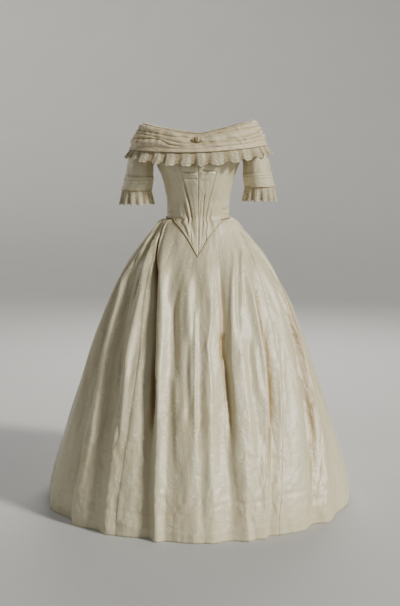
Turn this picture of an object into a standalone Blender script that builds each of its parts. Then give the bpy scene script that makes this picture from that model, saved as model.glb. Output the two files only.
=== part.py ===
"""Ivory silk wedding dress of the 1840s, standing open in its worn form.

Metres, +Z up, the front facing -Y.  The origin is the centre of the waist,
where the dress is held.  Heights in the tables are above the hem.
"""
import math

import bmesh
import bpy
from mathutils import Vector

# Driving dimensions, in metres
WAIST_HEIGHT = 0.968
POINT_DROP = 0.119
SILK = 0.0015
BERTHA_SILK = 0.0018
LACE = 0.0012
SEAM_GAP = 0.0003
WAIST_SEAM_HALF = 0.0009
PIPING_RADIUS = 0.0016
BERTHA_PIPING_RADIUS = 0.0013
NECK_BINDING_RADIUS = 0.0017
CUFF_PIPING_RADIUS = 0.0013
SHOULDER_LEAN = 0.028
LEAN_START = 1.10
LEAN_RISE = 0.05

# Figure that the cloth stands on: height, half width, front depth, back depth
FIGURE = (
    (0.000, 0.5210, 0.515, 0.545),
    (0.030, 0.5200, 0.512, 0.543),
    (0.093, 0.5080, 0.496, 0.530),
    (0.205, 0.4730, 0.457, 0.497),
    (0.316, 0.4390, 0.415, 0.466),
    (0.426, 0.4020, 0.371, 0.430),
    (0.536, 0.3660, 0.326, 0.395),
    (0.646, 0.3230, 0.279, 0.354),
    (0.755, 0.2730, 0.228, 0.306),
    (0.809, 0.2420, 0.198, 0.276),
    (0.849, 0.2150, 0.168, 0.247),
    (0.891, 0.1830, 0.140, 0.213),
    (0.918, 0.1610, 0.124, 0.189),
    (0.938, 0.1460, 0.113, 0.168),
    (0.958, 0.1300, 0.101, 0.146),
    (0.968, 0.1065, 0.0925, 0.0895),
    (0.978, 0.1060, 0.093, 0.089),
    (1.019, 0.1055, 0.099, 0.092),
    (1.059, 0.1120, 0.110, 0.100),
    (1.100, 0.1210, 0.122, 0.108),
    (1.140, 0.1370, 0.130, 0.113),
    (1.165, 0.1460, 0.131, 0.115),
    (1.188, 0.1550, 0.128, 0.114),
    (1.215, 0.1680, 0.117, 0.109),
    (1.250, 0.1860, 0.100, 0.099),
)

# Pointed waist seam: angle from the centre front, drop below the waist
POINTED_WAIST = (
    (0.0, POINT_DROP),
    (8.0, 0.0760),
    (17.0, 0.0450),
    (27.0, 0.0225),
    (38.0, 0.0080),
    (52.0, 0.0010),
    (66.0, 0.0),
    (180.0, 0.0),
)

# Upper edge of the bodice under the bertha: angle, height
BODICE_TOP = (
    (0.0, 1.236),
    (30.0, 1.240),
    (50.0, 1.247),
    (58.0, 1.238),
    (66.0, 1.212),
    (74.0, 1.182),
    (82.0, 1.163),
    (90.0, 1.157),
    (98.0, 1.163),
    (106.0, 1.182),
    (114.0, 1.212),
    (122.0, 1.238),
    (130.0, 1.247),
    (150.0, 1.246),
    (180.0, 1.244),
)

# Bodice seams: name, then the angle at each of SEAM_HEIGHTS
SEAM_HEIGHTS = (0.870, 0.968, 1.100, 1.240)
BODICE_SEAMS = (
    ("centre_back_left", -180.0, -180.0, -180.0, -180.0),
    ("side_back_left", -168.0, -164.0, -141.0, -134.0),
    ("side_left", -84.0, -86.0, -90.0, -90.0),
    ("side_front_left", -5.6, -12.0, -24.0, -31.0),
    ("centre_front", 0.0, 0.0, 0.0, 0.0),
    ("side_front_right", 6.2, 13.5, 27.0, 34.0),
    ("side_right", 84.0, 86.0, 90.0, 90.0),
    ("side_back_right", 168.0, 164.0, 141.0, 134.0),
    ("centre_back_right", 180.0, 180.0, 180.0, 180.0),
)

# Small pleats that fan out of the bodice's point
FAN_TOP = 1.02
FAN_FADE = 0.09
FAN_WIDTH = 0.42
FAN_PITCH = 0.06
FAN_HEIGHT = 0.0009

# Where the bodice's top leans out to the neckline, clear of the armholes
NECK_BLEND = 0.72
ARMHOLE_HALF = 28.0
ARMHOLE_FADE = 12.0

# Skirt folds of the front half: name, angle at the seam, upper, middle and
# hem, then the height of the fold off the figure in mm, upper, middle, hem
FOLD_LEVELS = (0.05, 0.47, 0.83, 1.0)
FRONT_FOLDS = (
    ("side_seam_left", -92.0, -92.0, -92.0, -92.0, 0.0, 0.0, 0.0),
    ("left_outer_valley", -86.0, -84.0, -80.0, -79.0, -4.0, -8.0, -8.0),
    ("left_outer_ridge", -82.0, -78.0, -72.0, -70.0, 6.0, 12.0, 8.0),
    ("left_third_valley", -78.5, -72.0, -61.0, -55.0, -8.0, -16.0, -12.0),
    ("left_third_ridge", -74.0, -65.0, -55.0, -49.0, 8.0, 14.0, 12.0),
    ("left_second_valley", -67.0, -55.0, -44.0, -39.0, -8.0, -14.0, -5.0),
    ("left_second_ridge", -60.0, -48.0, -37.0, -33.5, 10.0, 12.0, 9.0),
    ("left_width_seam", -56.0, -41.0, -31.0, -30.0, 0.0, 0.0, 0.0),
    ("left_first_valley", -52.0, -34.0, -22.5, -18.0, -10.0, -22.0, -17.0),
    ("left_first_ridge", -46.0, -27.5, -18.0, -14.5, 8.0, 12.0, 10.0),
    ("left_centre_valley", -30.0, -19.0, -13.0, -11.0, -6.0, -10.0, -6.0),
    ("left_centre_ridge", -16.0, -8.0, -2.5, -0.5, 5.0, 8.0, 6.0),
    ("centre_dip", 0.0, 0.5, 1.0, 2.0, -2.0, 1.0, 3.0),
    ("right_centre_ridge", 10.0, 7.5, 4.5, 4.5, 6.0, 9.0, 6.0),
    ("right_centre_valley", 26.0, 16.0, 13.0, 11.5, -8.0, -18.0, -10.0),
    ("right_first_ridge", 41.0, 27.0, 20.0, 17.5, 8.0, 11.0, 10.0),
    ("right_shallow_dip", 46.0, 33.0, 26.5, 21.0, 2.0, 3.0, 3.0),
    ("right_second_ridge", 51.0, 39.5, 32.0, 23.5, 7.0, 10.0, 5.0),
    ("right_second_valley", 57.0, 46.0, 37.0, 26.0, -8.0, -16.0, -12.0),
    ("right_width_seam", 62.0, 53.0, 43.0, 29.5, 0.0, -2.0, -4.0),
    ("right_third_ridge", 72.0, 65.0, 54.0, 40.0, 8.0, 10.0, 6.0),
    ("right_third_valley", 77.5, 72.0, 62.0, 47.0, -8.0, -20.0, -16.0),
    ("right_fourth_ridge", 81.5, 77.0, 69.0, 53.0, 8.0, 12.0, 12.0),
    ("right_outer_valley", 85.0, 82.0, 76.0, 64.0, -3.0, -6.0, -6.0),
    ("right_outer_ridge", 88.5, 87.0, 84.0, 77.0, 3.0, 5.0, 5.0),
)
BACK_START = 92.0
BACK_END = 268.0
BACK_FOLD_COUNT = 17
BACK_SEAM_FOLDS = (6, 12)
BACK_FOLD_HEIGHT = 11.0
BACK_FOLD_UNEVEN = 3.5
BACK_FOLD_SWAY = 1.7
SKIRT_ROWS = (0.0, 0.04, 0.13, 0.24, 0.35, 0.46, 0.57, 0.68, 0.78, 0.87, 0.935, 0.975, 1.0)
WIDE_FOLD = 11.0

# Neckline and bertha
NECK_HALF_WIDTH = 0.187
NECK_FRONT = 0.104
NECK_BACK = 0.102
NECK_ROUNDNESS = 2.3
NECK_FRONT_HEIGHT = 1.2425
NECK_BACK_HEIGHT = 1.2480
NECK_SHOULDER_HEIGHT = 1.2865
NECK_RISE_POWER = 1.25
NECK_INSET = 0.0040
NECK_LOWERED = 0.0012
BERTHA_HALF_WIDTH = 0.2325
BERTHA_FRONT = 0.1350
BERTHA_BACK = 0.1290
BERTHA_EDGE_HEIGHT = 1.188
BERTHA_EDGE_RISE = 0.015
BERTHA_BULGE = 0.0035
BERTHA_ROUNDNESS = 2.05
BERTHA_FOLD_HEIGHT = 0.0046
BERTHA_BAND = 0.24
BERTHA_FOLD_COUNT = 4
BERTHA_ROWS = (0.0, 0.12, 0.24, 0.335, 0.43, 0.525, 0.62, 0.715, 0.81, 0.905, 1.0)
BERTHA_COLUMNS = 10
BERTHA_PIPING_LEVEL = 0.03
PINCH_WIDTH = 16.0
PINCH_SHARE = 0.7

# Lace ruffle below the bertha
RUFFLE_WAVES = 28
WAVE_COLUMNS = 5
RUFFLE_HALF_WIDTH = 0.2440
RUFFLE_FRONT = 0.1475
RUFFLE_BACK = 0.1420
RUFFLE_EDGE_HEIGHT = 1.1425
RUFFLE_EDGE_RISE = 0.031
RUFFLE_WAVE = 0.0045
RUFFLE_TUCK = 0.04
RUFFLE_INSET = 0.0022

# Knot of silk at the centre front of the bertha
KNOT_SIZE = (0.021, 0.0062, 0.0088)
KNOT_LEVEL = 0.66
KNOT_STAND = 0.0004
KNOT_PINCH = 0.72
KNOT_PINCH_HALF = 0.6

# Sleeve rings from the cuff up: inner x and height, outer x and height,
# half depth
SLEEVE_RINGS = (
    (0.1580, 1.0660, 0.2580, 1.0660, 0.0570),
    (0.1545, 1.0850, 0.2520, 1.0860, 0.0572),
    (0.1525, 1.1050, 0.2465, 1.1070, 0.0575),
    (0.1508, 1.1280, 0.2420, 1.1380, 0.0580),
    (0.1500, 1.1430, 0.2350, 1.1720, 0.0575),
    (0.1490, 1.1510, 0.2200, 1.2160, 0.0570),
    (0.1470, 1.1555, 0.2030, 1.2600, 0.0560),
)
SLEEVE_COLUMNS = 20
SLEEVE_RISE = 0.85 * SHOULDER_LEAN * BERTHA_HALF_WIDTH
ARMHOLE_CORNER = 50.0
SHOULDER_SPAN = 60.0

# Step off the bodice below the shoulder: its vector, and the angles from the
# shoulder where it starts and by which it grows
ARMHOLE_STEP = (0.0012, 0.0, 0.0006)
STEP_START = 40.0
STEP_SPAN = 30.0

# Cuff band: share of the sleeve from the cuff up, height of its tucks
CUFF_BAND_ROWS = (
    (0.012, 0.0),
    (0.200, 0.0),
    (0.235, 0.0008),
    (0.262, 0.0),
    (0.292, 0.0008),
    (0.325, 0.0),
)
BAND_STAND = 0.0011
CUFF_LACE_WAVES = 13
CUFF_LACE_DROP = 0.0500
CUFF_LACE_FLARE = 0.0065
CUFF_LACE_WAVE = 0.0042

# Small steps that the waist piping and the neck binding read the cloth with
PIPING_STEP = 0.006
NECK_STEP = 0.04


def clear_scene():
    """Take every object out of the scene."""
    for item in list(bpy.data.objects):
        bpy.data.objects.remove(item, do_unlink=True)


def collection(name):
    """Return a new collection linked to the scene."""
    group = bpy.data.collections.new(name)
    bpy.context.scene.collection.children.link(group)
    return group


def finish(name, colour, roughness):
    """Return a cloth material with one colour and roughness."""
    material = bpy.data.materials.new(name)
    material.use_nodes = True
    shader = material.node_tree.nodes["Principled BSDF"]
    shader.inputs["Base Color"].default_value = (*colour, 1.0)
    shader.inputs["Roughness"].default_value = roughness
    shader.inputs["Metallic"].default_value = 0.0
    return material


def read_column(keys, values, at):
    """Read a smooth curve through (keys, values) that never overshoots."""
    if at <= keys[0]:
        return values[0]
    if at >= keys[-1]:
        return values[-1]
    last = len(keys) - 1
    chords = [(values[i + 1] - values[i]) / (keys[i + 1] - keys[i]) for i in range(last)]
    index = max(i for i in range(last) if keys[i] <= at)

    def slope(i):
        if i in (0, last):
            return chords[0] if i == 0 else chords[-1]
        before, after = chords[i - 1], chords[i]
        if before * after <= 0.0:
            return 0.0
        return 2.0 * before * after / (before + after)

    width = keys[index + 1] - keys[index]
    t = (at - keys[index]) / width
    rise = 3.0 * t * t - 2.0 * t ** 3
    leave = (t ** 3 - 2.0 * t * t + t) * width
    arrive = (t ** 3 - t * t) * width
    level = values[index] * (1.0 - rise) + values[index + 1] * rise
    return level + leave * slope(index) + arrive * slope(index + 1)


def column(table, number):
    """Return one column of a table."""
    return [row[number] for row in table]


def ease(t):
    """Return a smooth step from 0 to 1."""
    t = min(1.0, max(0.0, t))
    return t * t * (3.0 - 2.0 * t)


def wrap(angle):
    """Return an angle between -180 and 180 degrees."""
    return (angle + 180.0) % 360.0 - 180.0


def at_height(x, y, height):
    """Return a point given by its height above the hem."""
    return Vector((x, y, height - WAIST_HEIGHT))


def away_from_axis(angle, rise=0.0):
    """Return the direction away from the dress's axis, tilted up by rise."""
    radians = math.radians(angle)
    return Vector((math.sin(radians), -math.cos(radians), rise)).normalized()


def lean(point):
    """Raise the right shoulder a little above the left one."""
    height = point.z + WAIST_HEIGHT
    share = ease((height - LEAN_START) / LEAN_RISE)
    return point + Vector((0.0, 0.0, SHOULDER_LEAN * point.x * share))


def figure_point(angle, height):
    """Return the point of the figure at an angle and a height."""
    heights = column(FIGURE, 0)
    width = read_column(heights, column(FIGURE, 1), height)
    radians = math.radians(angle)
    depth_column = 2 if math.cos(radians) >= 0.0 else 3
    depth = read_column(heights, column(FIGURE, depth_column), height)
    return at_height(width * math.sin(radians), -depth * math.cos(radians), height)


def normal_at(point, u, v, step_u, step_v=0.003):
    """Return the outward direction of a surface from small steps on it."""
    along = point(u + step_u, v) - point(u - step_u, v)
    up = point(u, v + step_v) - point(u, v - step_v)
    return along.cross(up).normalized()


def new_object(name, bm, material, group):
    """Make an object of a bmesh, smooth with its rims sharp."""
    mesh = bpy.data.meshes.new(name)
    bm.to_mesh(mesh)
    bm.free()
    mesh.materials.append(material)
    mesh.shade_smooth()
    mesh.set_sharp_from_angle(angle=math.radians(50.0))
    item = bpy.data.objects.new(name, mesh)
    group.objects.link(item)
    return item


def pull_back(points, gap):
    """Draw the two ends of a row of points in by half a seam gap."""
    first = (points[1] - points[0]).normalized() * gap
    last = (points[-2] - points[-1]).normalized() * gap
    return [points[0] + first] + points[1:-1] + [points[-1] + last]


def cloth(name, point, columns, rows, thickness, material, group, steps, closed=False):
    """Loft a cloth wall through its sections, from the hem edge up.

    point(u, v) is the outer face.  The inner face lies one thickness inside
    it, along the direction that neighbouring panels share at their seam.
    """
    half_gap = SEAM_GAP / 2.0
    outer = []
    inner = []
    for v in rows:
        section = [point(u, v) for u in columns]
        inward = [normal_at(point, u, v, *steps) * -thickness for u in columns]
        if not closed:
            section = pull_back(section, half_gap)
        outer.append(section)
        inner.append([p + n for p, n in zip(section, inward)])
    bm = bmesh.new()
    skins = [[[bm.verts.new(p) for p in section] for section in skin] for skin in (outer, inner)]
    outer_verts, inner_verts = skins
    count = len(columns)
    spans = count if closed else count - 1
    for row in range(len(rows) - 1):
        for i in range(spans):
            j = (i + 1) % count
            low, high = outer_verts[row], outer_verts[row + 1]
            bm.faces.new((low[i], low[j], high[j], high[i]))
            low, high = inner_verts[row], inner_verts[row + 1]
            bm.faces.new((low[i], high[i], high[j], low[j]))
    for i in range(spans):
        j = (i + 1) % count
        bm.faces.new((outer_verts[0][j], outer_verts[0][i], inner_verts[0][i], inner_verts[0][j]))
        bm.faces.new((outer_verts[-1][i], outer_verts[-1][j], inner_verts[-1][j], inner_verts[-1][i]))
    if not closed:
        for row in range(len(rows) - 1):
            a, b = outer_verts[row], outer_verts[row + 1]
            c, d = inner_verts[row], inner_verts[row + 1]
            bm.faces.new((a[0], b[0], d[0], c[0]))
            bm.faces.new((a[-1], c[-1], d[-1], b[-1]))
    bmesh.ops.triangulate(bm, faces=bm.faces[:], quad_method="FIXED")
    return new_object(name, bm, material, group)


def piping(name, points, radius, material, group):
    """Make a round piping cord as a closed ring through its points."""
    curve = bpy.data.curves.new(name, "CURVE")
    curve.dimensions = "3D"
    curve.bevel_depth = radius
    curve.bevel_resolution = 1
    curve.use_fill_caps = True
    spline = curve.splines.new("POLY")
    spline.points.add(len(points) - 1)
    for place, p in zip(spline.points, points):
        place.co = (*p, 1.0)
    spline.use_cyclic_u = True
    curve.materials.append(material)
    item = bpy.data.objects.new(name, curve)
    group.objects.link(item)
    return item


def waist_drop(angle):
    """Return how far the waist seam lies below the waist."""
    return read_column(column(POINTED_WAIST, 0), column(POINTED_WAIST, 1), abs(wrap(angle)))


def seam_height(angle):
    """Return the height of the waist seam."""
    return WAIST_HEIGHT - waist_drop(angle)


def superellipse(angle, half_width, front, back, power):
    """Return x and y on a rounded oval."""
    radians = math.radians(angle)
    s, c = math.sin(radians), math.cos(radians)
    depth = front if c >= 0.0 else back
    x = half_width * math.copysign(abs(s) ** (2.0 / power), s)
    y = -depth * math.copysign(abs(c) ** (2.0 / power), c)
    return x, y


def neck_point(angle, inset=0.0):
    """Return a point of the neckline, the upper edge of the bertha."""
    x, y = superellipse(
        angle, NECK_HALF_WIDTH - inset, NECK_FRONT - inset, NECK_BACK - inset, NECK_ROUNDNESS
    )
    low = NECK_FRONT_HEIGHT if math.cos(math.radians(angle)) >= 0.0 else NECK_BACK_HEIGHT
    share = min(1.0, abs(x) / (NECK_HALF_WIDTH - inset)) ** NECK_RISE_POWER
    return at_height(x, y, low + (NECK_SHOULDER_HEIGHT - low) * share)


def seam_angle(line, height):
    """Return the angle of a bodice seam at a height."""
    return read_column(SEAM_HEIGHTS, line[1:], height)


def bodice_relief(across, height):
    """Return the height of the small pleats that fan out of the point."""
    fan = ease((FAN_TOP - height) / FAN_FADE) * ease((FAN_WIDTH - across) / 0.10)
    return FAN_HEIGHT * fan * math.sin(across * math.pi / FAN_PITCH)


def bodice_point(u, v):
    """Return the bodice's outer face: u counts the seams, v runs upwards."""
    index = min(len(BODICE_SEAMS) - 2, max(0, math.floor(u)))
    share = u - index
    left, right = BODICE_SEAMS[index], BODICE_SEAMS[index + 1]
    height = 1.05
    angle = 0.0
    for _ in range(12):
        start, end = seam_angle(left, height), seam_angle(right, height)
        angle = start + (end - start) * share
        low = seam_height(angle) + WAIST_SEAM_HALF
        high = read_column(column(BODICE_TOP, 0), column(BODICE_TOP, 1), abs(wrap(angle)))
        height = low + (high - low) * v
    point = figure_point(angle, height)
    if index in (2, 5):
        across = share if index == 5 else 1.0 - share
        relief = bodice_relief(across, height) * ease(v / 0.08)
        point = point + away_from_axis(angle) * relief
    off_armhole = abs(abs(wrap(angle)) - 90.0)
    clear = ease((off_armhole - ARMHOLE_HALF) / ARMHOLE_FADE)
    raised = ease((v - NECK_BLEND) / (1.0 - NECK_BLEND)) * clear
    neck = neck_point(angle, NECK_INSET) - Vector((0.0, 0.0, NECK_LOWERED))
    return lean(point.lerp(neck, raised))


def build_bodice(group, silk):
    """Build the eight bodice panels."""
    names = (
        "bodice_back_left",
        "bodice_side_back_left",
        "bodice_side_front_left",
        "bodice_centre_front_left",
        "bodice_centre_front_right",
        "bodice_side_front_right",
        "bodice_side_back_right",
        "bodice_back_right",
    )
    plain = [i / 5.0 for i in range(6)]
    pleated = [0.0, 0.03, 0.09, 0.15, 0.21, 0.27, 0.33, 0.39, 0.5, 0.65, 0.8, 1.0]
    shares = {
        "bodice_side_front_right": pleated,
        "bodice_side_front_left": [1.0 - s for s in reversed(pleated)],
        "bodice_centre_front_left": [0.0, 0.33, 0.66, 1.0],
        "bodice_centre_front_right": [0.0, 0.33, 0.66, 1.0],
    }
    rows = [0.0, 0.1, 0.2, 0.32, 0.45, 0.58, 0.7, 0.8, 0.9, 1.0]
    for index, name in enumerate(names):
        columns = [index + s for s in shares.get(name, plain)]
        cloth(name, bodice_point, columns, rows, SILK, silk, group, (0.004, 0.008))


def back_folds():
    """Return fold lines for the back half, in rounded uneven pleats."""
    folds = []
    spacing = (BACK_END - BACK_START) / (BACK_FOLD_COUNT + 1)
    for i in range(BACK_FOLD_COUNT):
        number = i + 1
        angle = BACK_START + spacing * number
        sway = BACK_FOLD_SWAY * math.sin(2.1 * number)
        side = 1.0 if number % 2 else -1.15
        height = side * (BACK_FOLD_HEIGHT + BACK_FOLD_UNEVEN * math.sin(1.7 * number + 0.6))
        folds.append(
            (
                f"back_fold_{number}",
                angle,
                angle + 0.5 * sway,
                angle + sway,
                angle + 1.4 * sway,
                0.65 * height,
                height,
                0.8 * height,
            )
        )
    return folds


FOLDS = list(FRONT_FOLDS) + back_folds()


def fold_line(index):
    """Return a fold line by number, going on round the skirt."""
    turns, place = divmod(index, len(FOLDS))
    return FOLDS[place], 360.0 * turns


def fold_angle(index, v):
    """Return the angle of a fold line at a share of the skirt's height."""
    line, turn = fold_line(index)
    angles = (line[4], line[3], line[2], line[1])
    return turn + read_column(FOLD_LEVELS, angles, v)


def fold_height(index, v):
    """Return how far a fold line stands off the figure."""
    line, _ = fold_line(index)
    heights = (line[7], line[6], line[5], 0.0)
    return 0.001 * read_column((0.0,) + FOLD_LEVELS[1:], heights, v)


def skirt_point(u, v):
    """Return the skirt's outer face: u counts the fold lines, v runs upwards."""
    index = math.floor(u)
    share = u - index
    start, end = fold_angle(index, v), fold_angle(index + 1, v)
    angle = start + (end - start) * share
    stand = fold_height(index, v) * (1.0 - ease(share)) + fold_height(index + 1, v) * ease(share)
    height = (seam_height(angle) - WAIST_SEAM_HALF) * v
    return figure_point(angle, height) + away_from_axis(angle) * stand


def fold_number(name):
    """Return the number of a named fold line."""
    return next(i for i, line in enumerate(FOLDS) if line[0] == name)


def build_skirt(group, silk):
    """Build the six widths of the skirt, seamed together."""
    left, right = fold_number("left_width_seam"), fold_number("right_width_seam")
    side = len(FRONT_FOLDS)
    backs = [fold_number(f"back_fold_{number}") for number in BACK_SEAM_FOLDS]
    last = len(FOLDS)
    widths = (
        ("skirt_front", left, right),
        ("skirt_side_right", right, side),
        ("skirt_back_right", side, backs[0]),
        ("skirt_back", backs[0], backs[1]),
        ("skirt_back_left", backs[1], last),
        ("skirt_side_left", last, last + left),
    )
    for name, start, end in widths:
        columns = []
        for index in range(start, end):
            spans = [fold_angle(index + 1, v) - fold_angle(index, v) for v in FOLD_LEVELS[1::2]]
            parts = 3 if max(spans) > WIDE_FOLD else 2
            columns += [index + i / parts for i in range(parts)]
        columns.append(end)
        cloth(name, skirt_point, columns, SKIRT_ROWS, SILK, silk, group, (0.03, 0.002))


def bertha_base(angle, v):
    """Return the bertha's form without its folds: v runs upwards."""
    x, y = superellipse(angle, BERTHA_HALF_WIDTH, BERTHA_FRONT, BERTHA_BACK, BERTHA_ROUNDNESS)
    rise = BERTHA_EDGE_RISE * math.sin(math.radians(angle)) ** 2
    low = at_height(x, y, BERTHA_EDGE_HEIGHT + rise)
    swell = away_from_axis(angle, 0.4) * BERTHA_BULGE * 4.0 * v * (1.0 - v)
    return lean(low.lerp(neck_point(angle), v) + swell)


def bertha_point(angle, v):
    """Return the bertha's outer face with its draped folds."""
    in_folds = ease((v - BERTHA_BAND + 0.03) / 0.06)
    along = (v - BERTHA_BAND) / (1.0 - BERTHA_BAND)
    drift = 0.10 * math.sin(2.0 * math.radians(angle) + 0.4)
    roll = abs(math.sin(math.pi * BERTHA_FOLD_COUNT * (along + drift * along * (1.0 - along))))
    pinch = 1.0 - PINCH_SHARE * (1.0 - ease(abs(wrap(angle)) / PINCH_WIDTH))
    edge = ease((1.0 - v) / 0.08)
    stand = BERTHA_FOLD_HEIGHT * in_folds * roll * pinch * edge
    return bertha_base(angle, v) + away_from_axis(angle, 0.3) * stand


def build_bertha(group, silk):
    """Build the four draped pieces of the bertha."""
    pieces = (
        ("bertha_front_right", 0.0),
        ("bertha_back_right", 90.0),
        ("bertha_back_left", 180.0),
        ("bertha_front_left", 270.0),
    )
    for name, start in pieces:
        columns = [start + 90.0 * i / BERTHA_COLUMNS for i in range(BERTHA_COLUMNS + 1)]
        cloth(name, bertha_point, columns, BERTHA_ROWS, BERTHA_SILK, silk, group, (0.5, 0.02))


def ruffle_point(angle, v):
    """Return the lace ruffle's outer face: v runs up to the bertha's edge."""
    radians = math.radians(angle)
    tuck = bertha_point(angle, RUFFLE_TUCK)
    inward = normal_at(bertha_point, angle, RUFFLE_TUCK, 0.5) * -(BERTHA_SILK + RUFFLE_INSET)
    x, y = superellipse(angle, RUFFLE_HALF_WIDTH, RUFFLE_FRONT, RUFFLE_BACK, BERTHA_ROUNDNESS)
    edge = RUFFLE_EDGE_HEIGHT + RUFFLE_EDGE_RISE * math.sin(radians) ** 2
    low = lean(at_height(x, y, edge))
    swing = RUFFLE_WAVE * (1.0 - v) * math.sin(RUFFLE_WAVES * radians)
    return low.lerp(tuck + inward, v) + away_from_axis(angle) * swing


def build_ruffle(group, lace):
    """Build the gathered lace in four lengths."""
    names = ("ruffle_front_right", "ruffle_back_right", "ruffle_back_left", "ruffle_front_left")
    steps = WAVE_COLUMNS * RUFFLE_WAVES // 4
    for number, name in enumerate(names):
        columns = [90.0 * (number + i / steps) for i in range(steps + 1)]
        cloth(name, ruffle_point, columns, (0.0, 1.0), LACE, lace, group, (0.5, 0.02))


def armhole_point(angle):
    """Return the armhole edge of the right side, angle 0 at the shoulder."""
    turn = wrap(angle)
    if abs(turn) <= SHOULDER_SPAN:
        body_angle = 90.0 + (90.0 - ARMHOLE_CORNER) * turn / SHOULDER_SPAN
        return lean(neck_point(body_angle, NECK_INSET) - Vector((0.0, 0.0, NECK_LOWERED)))
    share = (180.0 - abs(turn)) / (180.0 - SHOULDER_SPAN)
    body_angle = 90.0 + math.copysign((90.0 - ARMHOLE_CORNER) * share, turn)
    seam = 6 if body_angle >= 90.0 else 5
    height = read_column(column(BODICE_TOP, 0), column(BODICE_TOP, 1), body_angle)
    start = seam_angle(BODICE_SEAMS[seam], height)
    end = seam_angle(BODICE_SEAMS[seam + 1], height)
    return bodice_point(seam + (body_angle - start) / (end - start), 1.0)


def sleeve_ring_point(ring, angle):
    """Return a point of one of the sleeve's rings."""
    inner_x, inner_height, outer_x, outer_height, depth = ring
    radians = math.radians(angle)
    inner = at_height(inner_x, 0.0, inner_height)
    outer = at_height(outer_x, 0.0, outer_height)
    middle = (inner + outer) / 2.0 + Vector((0.0, depth * math.sin(radians), SLEEVE_RISE))
    return middle + (outer - inner) / 2.0 * math.cos(radians)


def through(points, v):
    """Return a point of the smooth curve through a row of points."""
    last = len(points) - 1
    place = min(last - 1e-9, max(0.0, v * last))
    index = int(place)
    t = place - index
    before = points[max(0, index - 1)]
    start, end = points[index], points[index + 1]
    after = points[min(last, index + 2)]
    leave, arrive = (end - before) / 2.0, (after - start) / 2.0
    a, b = 2.0 * t ** 3 - 3.0 * t * t + 1.0, t ** 3 - 2.0 * t * t + t
    return start * a + leave * b + end * (1.0 - a) + arrive * (t ** 3 - t * t)


def sleeve_point(angle, v):
    """Return the right sleeve's outer face: v runs from the cuff upwards."""
    rings = [sleeve_ring_point(ring, angle) for ring in SLEEVE_RINGS]
    below_shoulder = ease((abs(wrap(angle)) - STEP_START) / STEP_SPAN)
    return through(rings + [armhole_point(angle) + Vector(ARMHOLE_STEP) * below_shoulder], v)


def mirrored(point):
    """Return the same surface on the left, the shoulder lean taken off."""
    drop = Vector((0.0, 0.0, 2.0 * SLEEVE_RISE))

    def other(angle, v):
        p = point(-angle, v) - drop
        return Vector((-p.x, p.y, p.z))

    return other


def band_point(angle, v):
    """Return the cuff band, laid on the sleeve with two raised tucks."""
    on_sleeve = sleeve_point(angle, v)
    levels = column(CUFF_BAND_ROWS, 0)
    tuck = read_column(levels, column(CUFF_BAND_ROWS, 1), v)
    outward = normal_at(sleeve_point, angle, v, 1.0)
    return on_sleeve + outward * (BAND_STAND + LACE + tuck)


def cuff_lace_point(angle, v):
    """Return the cuff's gathered lace below the sleeve's edge."""
    edge = sleeve_point(angle, 0.0)
    radians = math.radians(angle)
    outward = Vector((math.cos(radians), math.sin(radians), 0.0))
    fall = 1.0 - v
    swing = CUFF_LACE_FLARE * fall + CUFF_LACE_WAVE * fall * math.sin(CUFF_LACE_WAVES * radians)
    below = Vector((0.0, 0.0, 2.0 * SEAM_GAP + CUFF_LACE_DROP * fall))
    return edge - below + outward * swing


def build_sleeves(group, silk, lace):
    """Build both sleeves with their bands, pipings and lace."""
    rows = [0.0, 0.15, 0.3, 0.45, 0.6, 0.75, 0.88, 1.0]
    columns = [360.0 * i / SLEEVE_COLUMNS for i in range(SLEEVE_COLUMNS)]
    lace_steps = WAVE_COLUMNS * CUFF_LACE_WAVES
    lace_columns = [360.0 * i / lace_steps for i in range(lace_steps)]
    band_rows = column(CUFF_BAND_ROWS, 0)
    for side in ("right", "left"):
        place = (lambda point: point) if side == "right" else mirrored
        sleeve, band, ruffle = place(sleeve_point), place(band_point), place(cuff_lace_point)
        steps = (1.0, 0.01)
        cloth(f"sleeve_{side}", sleeve, columns, rows, SILK, silk, group, steps, True)
        cloth(f"cuff_band_{side}", band, columns, band_rows, LACE, silk, group, steps, True)
        cord = []
        for angle in columns:
            outward = normal_at(band, angle, band_rows[0], 1.0)
            cord.append(band(angle, band_rows[0]) + outward * (CUFF_PIPING_RADIUS + SEAM_GAP))
        piping(f"cuff_piping_{side}", cord, CUFF_PIPING_RADIUS, silk, group)
        steps = (1.0, 0.02)
        cloth(f"cuff_lace_{side}", ruffle, lace_columns, (0.0, 1.0), LACE, lace, group, steps, True)


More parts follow.
